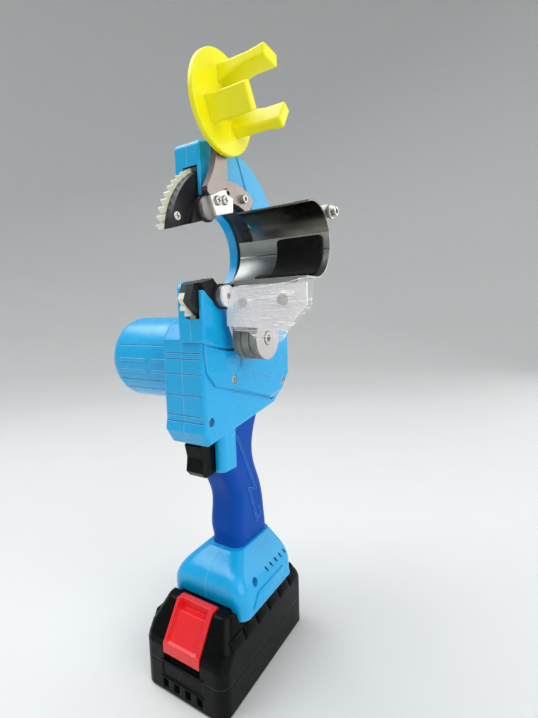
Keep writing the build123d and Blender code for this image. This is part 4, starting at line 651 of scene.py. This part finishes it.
class TAPING_OT_film(bpy.types.Operator):
    """Wrap the lower bracket's front in clear film"""
    bl_idname = "taping.film"
    bl_label = "Clear film"

    def execute(self, context):
        fold = context.scene.taping_sizes.film_fold / MM
        # The film's solid lies on the plate's front and stands out round the plate's edges
        film_low, film_high = box_mm("bracket_film")
        overlap, above, past_end = 1.2, 0.6, 3.2
        face, top, end = film_high.y, film_high.z - overlap, film_high.x - overlap
        screws = [(film_low.x + 12.1, top - 10.6), (film_low.x + 42.6, top - 10.2)]
        left, droop_x = film_low.x + 4.0, film_low.x + 30.0
        width, height, columns, rows = end + past_end - left, 34.0, 96, 58
        upright = Matrix.Rotation(math.pi / 2, 3, "X")
        shape = bmesh.new()
        bmesh.ops.create_grid(shape, x_segments=columns, y_segments=rows, size=0.5)
        bmesh.ops.scale(shape, vec=(width, height, 1), verts=shape.verts)
        bmesh.ops.rotate(shape, verts=shape.verts, cent=(0, 0, 0), matrix=upright)
        bmesh.ops.translate(shape, vec=(left + width / 2, face, top + above - height / 2), verts=shape.verts)
        # Cut along the bracket's slanted edges, a little outside them: a point in X and Z, and the way out
        cuts = [((left, top - 12.0), (-10.7, 4.0)), ((end + 3.0, top - 14.6), (4.0, -4.6)),
                ((end - 2.4, top - 19.4), (10.5, -10.7)), ((end - 16.0, top - 31.2), (-1.0, -18.0))]
        for (x, z), (out_x, out_z) in cuts:
            bmesh.ops.bisect_plane(shape, geom=whole(shape), dist=SAME, plane_co=(x, face, z),
                                   plane_no=(out_x, 0, out_z), clear_outer=True)
        flat_area = sum(f.calc_area() for f in shape.faces) * MM * MM
        # The way the film is pulled, and how long and wide its folds and its crumples are
        pull_x, pull_z = 0.97, 0.24
        fold_length, fold_width, crumple_length, crumple_width = 34, 5.2, 6, 5
        taut_share, loose_share, crumple_share = 0.3, 0.3, 0.6
        # It gets loose over a length to the right, and from a depth below the top over another length
        loose_length, loose_below, loose_fade = 26.0, 17.0, 12.0
        plate_gap, head_height, head_reach, head_slope = 0.15, 1.9, 7.5, 4.0
        droop_below, droop_fade, droop_half, droop_down, droop_out = 21.5, 10.0, 15.0, 9.5, 0.9
        corner_height, corner_length, corner_fade, corner_up, corner_out = 7.0, 13.0, 11.0, 2.6, 2.0
        for vertex in shape.verts:
            x, z = vertex.co.x, vertex.co.z
            # Taut with long low folds at the left, crumpled towards the right and the lower end
            along, across = pull_x * x + pull_z * z, -pull_z * x + pull_x * z
            long_fold = ridges(along / fold_length, across / fold_width, seed=1.7, sharpness=2.4)
            crumple = ridges(x / crumple_length, z / crumple_width, seed=6.1, sharpness=2.6)
            loose = clamp((x - droop_x) / loose_length + max(0.0, (top - loose_below - z) / loose_fade))
            rise = (fold * (taut_share + loose_share * loose) * long_fold ** 2
                    + fold * crumple_share * loose * crumple ** 2)
            for screw_x, screw_z in screws:
                away = math.hypot(x - screw_x, z - screw_z)
                rise = max(rise, head_height * clamp((head_reach - away) / head_slope))
            vertex.co.y = face - plate_gap - rise
            # The loose end droops in front of the wheel, and the upper right corner is pulled up
            low_edge = clamp((top - droop_below - z) / droop_fade)
            off_middle = min(1.0, abs(x - droop_x) / droop_half)
            droop = low_edge ** 2 * max(0.0, math.cos(off_middle * math.pi / 2))
            vertex.co.z -= droop_down * droop
            vertex.co.y -= droop_out * droop
            high_edge = (clamp((z - top + corner_height) / corner_height)
                         * clamp((x - end + corner_length) / corner_fade))
            vertex.co.z += corner_up * high_edge
            vertex.co.x += corner_out * high_edge
        # The edges are pulled back round the plate, all but the left one
        free_left, turned_depth, ruffle, ruffle_scale = 5, 1.2, 0.3, 0.4
        rim = [e for e in shape.edges
               if e.is_boundary and (e.verts[0].co.x + e.verts[1].co.x) / 2 > left + free_left]
        turned = [v for v in bmesh.ops.extrude_edge_only(shape, edges=rim)["geom"]
                  if isinstance(v, bmesh.types.BMVert)]
        for vertex in turned:
            vertex.co.y = face + turned_depth + ruffle * noise.noise(vertex.co * ruffle_scale)
        film = piece("clear_film", shape, "rotor", "clear_film",
                     stretch_film("stretched_clear_film", linear("FBFBFB"), screws), sharp=70.0)
        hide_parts("bracket_film")
        # More film than the cut outline, for the folds and the edges turned back
        return {"FINISHED"}


class TAPING_OT_wheel(bpy.types.Operator):
    """Turn and knurl the tape guide wheel"""
    bl_idname = "taping.wheel"
    bl_label = "Knurled wheel"

    def execute(self, context):
        sizes = context.scene.taping_sizes
        low, high = box_mm("knurled_wheel")
        middle = (low + high) / 2
        radius, discs, groove, bore, recess = (high.z - low.z) / 2, 3, 1.2, 3.06, 5.0
        groove_depth, recess_depth, rim_steps, chamfer = 2.0, 3.0, 6, 0.3
        # How near a point counts as on a face, how far the hub reaches, how deep the knurled rim is
        near, hub_margin, rim_depth, faces_x = 0.1, 1.0, 0.8, 0.9
        disc = (high.x - low.x - groove * (discs - 1)) / discs
        groove_floor = radius - groove_depth
        line = [(low.x, bore), (low.x, groove_floor)]
        for k in range(discs):
            x = low.x + k * (disc + groove)
            line += [(x, groove_floor)] * (k > 0) + [(x, radius - chamfer)]
            line += [(x + chamfer + (disc - 2 * chamfer) * j / (rim_steps - 1), radius)
                     for j in range(rim_steps)]
            line += [(x + disc, radius - chamfer), (x + disc, groove_floor)]
        line += [(high.x, recess), (high.x - recess_depth, recess), (high.x - recess_depth, bore)]
        turns = 2 * sizes.knurls
        points = [(x, middle.y, middle.z + r) for x, r in line]
        shape = spun(points, middle, axis=(1, 0, 0), steps=turns, closed=True)
        # Every second point of the rim is pressed in, which leaves a diamond knurl; its roots are painted
        # dark as shade, with some old adhesive
        root = shape.verts.layers.float.new("knurl_root")
        for vertex in shape.verts:
            y, z = vertex.co.y - middle.y, vertex.co.z - middle.z
            # The grooves between the discs are painted dark as shade
            between_ends = low.x + near < vertex.co.x < high.x - near
            if between_ends and recess + hub_margin < math.hypot(y, z) < radius - near:
                vertex[root] = 1.0
            if math.hypot(y, z) > radius - near:
                turn = round(math.atan2(y, z) / (2 * math.pi) * turns)
                share_across = ((vertex.co.x - low.x) % (disc + groove) - chamfer) / (disc - 2 * chamfer)
                across = round(share_across * (rim_steps - 1))
                if (turn + across) % 2:
                    vertex[root] = 1.0
                    share = 1 - sizes.knurl_depth / MM / radius
                    vertex.co.y, vertex.co.z = middle.y + y * share, middle.z + z * share
        # A point in the middle of each rim face makes the diamonds even on both diagonals
        rim_from = radius - rim_depth
        rim_faces = [f for f in shape.faces
                     if all(math.hypot(v.co.y - middle.y, v.co.z - middle.z) > rim_from for v in f.verts)]
        for vertex in bmesh.ops.poke(shape, faces=rim_faces)["verts"]:
            vertex[root] = 0.5
        for face in shape.faces:
            face.material_index = int(abs(face.normal.x) > faces_x)
        # Knurled free-cutting steel, greyed by adhesive and painted dark as shade in its knurl roots and
        # grooves; its end faces are clean turned steel
        rim = knurled("knurled_wheel_steel", linear("C9C7BC"), linear("1E1E1B"))
        ends = turned_face("turned_wheel_face", linear("D0CAC9"), linear("BDB6B5"), middle)
        made = piece("knurled_guide_wheel", shape, "wheel", "wheel_steel", rim, ends, sharp=28.0)
        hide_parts("knurled_wheel")
        return {"FINISHED"}


class TAPING_OT_trigger(bpy.types.Operator):
    """Finish the trigger, switch, terminals and control board"""
    bl_idname = "taping.trigger"
    bl_label = "Trigger and electrics"

    def execute(self, context):
        # Moulded acetal: deep black, with a slight painted highlight along the front's edges
        black = moulded("black_trigger_acetal", linear("080A09"), linear("040505"), linear("3A3D3B"),
                        roughness=0.25, grain_mm=1.8, depth_mm=0.01, round_mm=0.8, wear=0.5, IOR=1.48,
                        **{"Specular IOR Level": 0.12})
        dress(black, "trigger", "trigger_switch", "terminal_block")
        # Stamped brass: warm yellow, brushed along the blades
        brass = metal("stamped_brass", linear("D9B25C"), linear("A9853C"), roughness=0.3,
                      lines_mm=(0.8, 10, 0.8), depth_mm=0.01, round_mm=0.2)
        dress(brass, "terminal_blades", "battery_contacts")
        # Circuit board: green solder mask over faintly raised tracks
        dress(moulded("green_solder_mask", linear("1F7A3C"), linear("12592A"), linear("9CB77F"),
                      roughness=0.3, grain_mm=2.5, depth_mm=0.03, round_mm=0.2), "control_board")
        return {"FINISHED"}


class TAPING_OT_battery(bpy.types.Operator):
    """Finish the battery case and cells, and add its side ribs and front lines"""
    bl_idname = "taping.battery"
    bl_label = "Battery"

    def execute(self, context):
        sizes = context.scene.taping_sizes
        black = opaque(context.scene.taping_colours.battery)
        # Glass filled nylon: near black, satin, its edges painted grey: a painted highlight, with some
        # handling wear
        nylon = moulded("black_glass_nylon", black, shade(black, 0.62), linear("4A4E54"), roughness=0.3,
                        grain_mm=1.8, depth_mm=0.01, round_mm=2.2, wear=0.35, IOR=1.53,
                        **{"Specular IOR Level": 0.09})
        dress(nylon, "battery_case_lower", "battery_case_upper")
        # Heat shrink sleeve over the cells: thin green PVC, smooth and glossy
        dress(moulded("green_shrink_sleeve", linear("2FA36B"), linear("1F8554"), linear("BFE3CF"),
                      roughness=0.22, grain_mm=3.0, depth_mm=0.02, round_mm=0.4), "battery_cells")
        low, high = box_mm("battery_case_upper")
        shape = bmesh.new()
        # Rounded ribs along the slanted upper side of the case, on both sides
        slope = math.degrees(math.atan2(9.0, 20.0))
        thickness, height, gap, rounding = 3.0, 8.4, 2.0, 1.2
        inset, middle_y, middle_z = 2.15, 2.0, 48.4
        for k in range(sizes.rib_count):
            y = (k - (sizes.rib_count - 1) / 2) * sizes.rib_pitch / MM + middle_y
            size = (thickness, sizes.rib_pitch / MM - gap, height)
            bar(shape, size, (high.x - inset, y, middle_z), rounding, turn=-slope)
        bmesh.ops.mirror(shape, geom=whole(shape), axis="X", merge_dist=0.0)
        # A line above and below the front panel
        line_length, line_width, line_rounding, line_depth = 41.0, 1.0, 0.35, 0.1
        for z in (12.2, 25.9):
            bar(shape, (line_length, line_width, line_width), (0.0, low.y - line_depth, z), line_rounding)
        piece("battery_ribs", shape, "battery", "battery_black", nylon)
        return {"FINISHED"}


class TAPING_OT_button(bpy.types.Operator):
    """Finish the battery's red release button"""
    bl_idname = "taping.button"
    bl_label = "Release button"

    def execute(self, context):
        red = opaque(context.scene.taping_colours.button)
        # ABS from a satin mould: clear red, with a painted highlight along its rim
        dress(moulded("satin_red_abs", red, shade(red, 0.86), linear("FF7468"), roughness=0.28, grain_mm=2.2,
                      depth_mm=0.006, round_mm=0.9, wear=0.6, IOR=1.53), "release_button")
        return {"FINISHED"}


class TAPING_OT_stage(bpy.types.Operator):
    """Set up the backdrop, the lights and the camera"""
    bl_idname = "taping.stage"
    bl_label = "Studio"

    def execute(self, context):
        scene, studio = context.scene, context.scene.taping_studio
        scene.view_settings.view_transform = "Standard"
        # A sheet of paper that curves up all round, drawn in metres as a profile and spun
        curve = [(0.0, 0.0), (0.6, 0.0), (1.2, 0.0), (1.6, 0.04), (2.0, 0.2), (2.35, 0.55), (2.55, 1.1),
                 (2.6, 2.4)]
        paper = spun([(x, 0, z) for x, z in curve], (0, 0, 0), axis=(0, 0, 1), steps=96)
        backdrop = smooth_object("backdrop", paper, studio_paper("backdrop_paper", opaque(studio.paper)))
        # The sky lights evenly; straight to the camera, in metal and through film it is the pale backdrop
        white, pale_strength = (1.0, 1.0, 1.0, 1.0), 0.9
        world = bpy.data.worlds.new("studio_sky")
        scene.world = world
        world.use_nodes = True
        tree = world.node_tree
        tree.nodes.clear()
        path = add(tree, "LightPath").outputs
        seen = add(tree, "Math", {0: path["Is Camera Ray"], 1: path["Is Glossy Ray"]}, operation="MAXIMUM")
        shown = add(tree, "Math", {0: seen, 1: path["Is Transmission Ray"]}, operation="MAXIMUM")
        light = add(tree, "Background", {"Color": white, "Strength": studio.sky})
        pale = add(tree, "Background", {"Color": opaque(studio.paper), "Strength": pale_strength})
        either = add(tree, "MixShader", {0: shown, 1: light, 2: pale})
        add(tree, "OutputWorld", {"Surface": either})
        # Three large soft lamps, aimed at the middle of the tool, each with its power, size and place
        target, back_share = Vector((0.0, 0.0, 0.24)), 0.45
        for name, power, size, place in (("key_lamp", studio.key, 1.3, (-0.5, -0.2, 1.45)),
                                         ("fill_lamp", studio.fill, 1.1, (1.2, -0.3, 0.85)),
                                         ("back_lamp", back_share * studio.fill, 0.9, (0.75, 1.1, 0.6))):
            lamp = bpy.data.lights.new(name, "AREA")
            lamp.energy, lamp.size = power, size
            holder = bpy.data.objects.new(name, lamp)
            holder.location = place
            holder.rotation_euler = (target - Vector(place)).to_track_quat("-Z", "Y").to_euler()
            holder.visible_camera = False
            scene.collection.objects.link(holder)
        # The camera stands where the photograph was taken, held a little askew
        eye, yaw, pitch, roll = (0.19711, -0.25093, 0.27852), 0.54625, -0.11156, -0.02626
        sensor_mm, focal_px, photo_height_px, nearest = 36.0, 408.08, 718.0, 0.01
        ahead = Vector((-math.sin(yaw) * math.cos(pitch), math.cos(yaw) * math.cos(pitch), math.sin(pitch)))
        level = Vector((math.cos(yaw), math.sin(yaw), 0.0))
        over = level.cross(ahead)
        right = math.cos(roll) * level + math.sin(roll) * over
        up = math.cos(roll) * over - math.sin(roll) * level
        lens = bpy.data.cameras.new("photo_camera")
        lens.sensor_width, lens.lens = sensor_mm, sensor_mm * focal_px / photo_height_px
        lens.clip_start = nearest
        camera = bpy.data.objects.new("photo_camera", lens)
        aim = Matrix((right, up, -ahead)).transposed().to_4x4()
        aim.translation = eye
        camera.matrix_world = aim
        scene.collection.objects.link(camera)
        scene.camera = camera
        return {"FINISHED"}


OPERATORS = (TAPING_OT_stage, TAPING_OT_housing, TAPING_OT_grip, TAPING_OT_drive, TAPING_OT_rotor,
             TAPING_OT_tape_arm, TAPING_OT_trough, TAPING_OT_pad, TAPING_OT_bracket, TAPING_OT_film,
             TAPING_OT_wheel, TAPING_OT_trigger, TAPING_OT_battery, TAPING_OT_button)
GROUPS = {"taping_colours": TapingToolColours, "taping_sizes": TapingToolSizes,
          "taping_studio": TapingToolStudio}


class TAPING_PT_panel(bpy.types.Panel):
    """Lists the pieces of the taping tool and what can be changed"""
    bl_idname = "TAPING_PT_panel"
    bl_label = "Taping tool"
    bl_space_type = "VIEW_3D"
    bl_region_type = "UI"
    bl_category = "Taping tool"

    def draw(self, context):
        for name, group in GROUPS.items():
            column = self.layout.column(align=True)
            for entry in group.__annotations__:
                column.prop(getattr(context.scene, name), entry)
        for operator in OPERATORS:
            self.layout.operator(operator.bl_idname)


def register():
    for cls in (*GROUPS.values(), *OPERATORS, TAPING_PT_panel):
        bpy.utils.register_class(cls)
    for name, group in GROUPS.items():
        setattr(bpy.types.Scene, name, bpy.props.PointerProperty(type=group))


def unregister():
    for name in GROUPS:
        delattr(bpy.types.Scene, name)
    for cls in reversed((*GROUPS.values(), *OPERATORS, TAPING_PT_panel)):
        bpy.utils.unregister_class(cls)


def main():
    register()
    for operator in OPERATORS:
        group, name = operator.bl_idname.split(".")
        getattr(getattr(bpy.ops, group), name)()


if __name__ == "__main__":
    main()
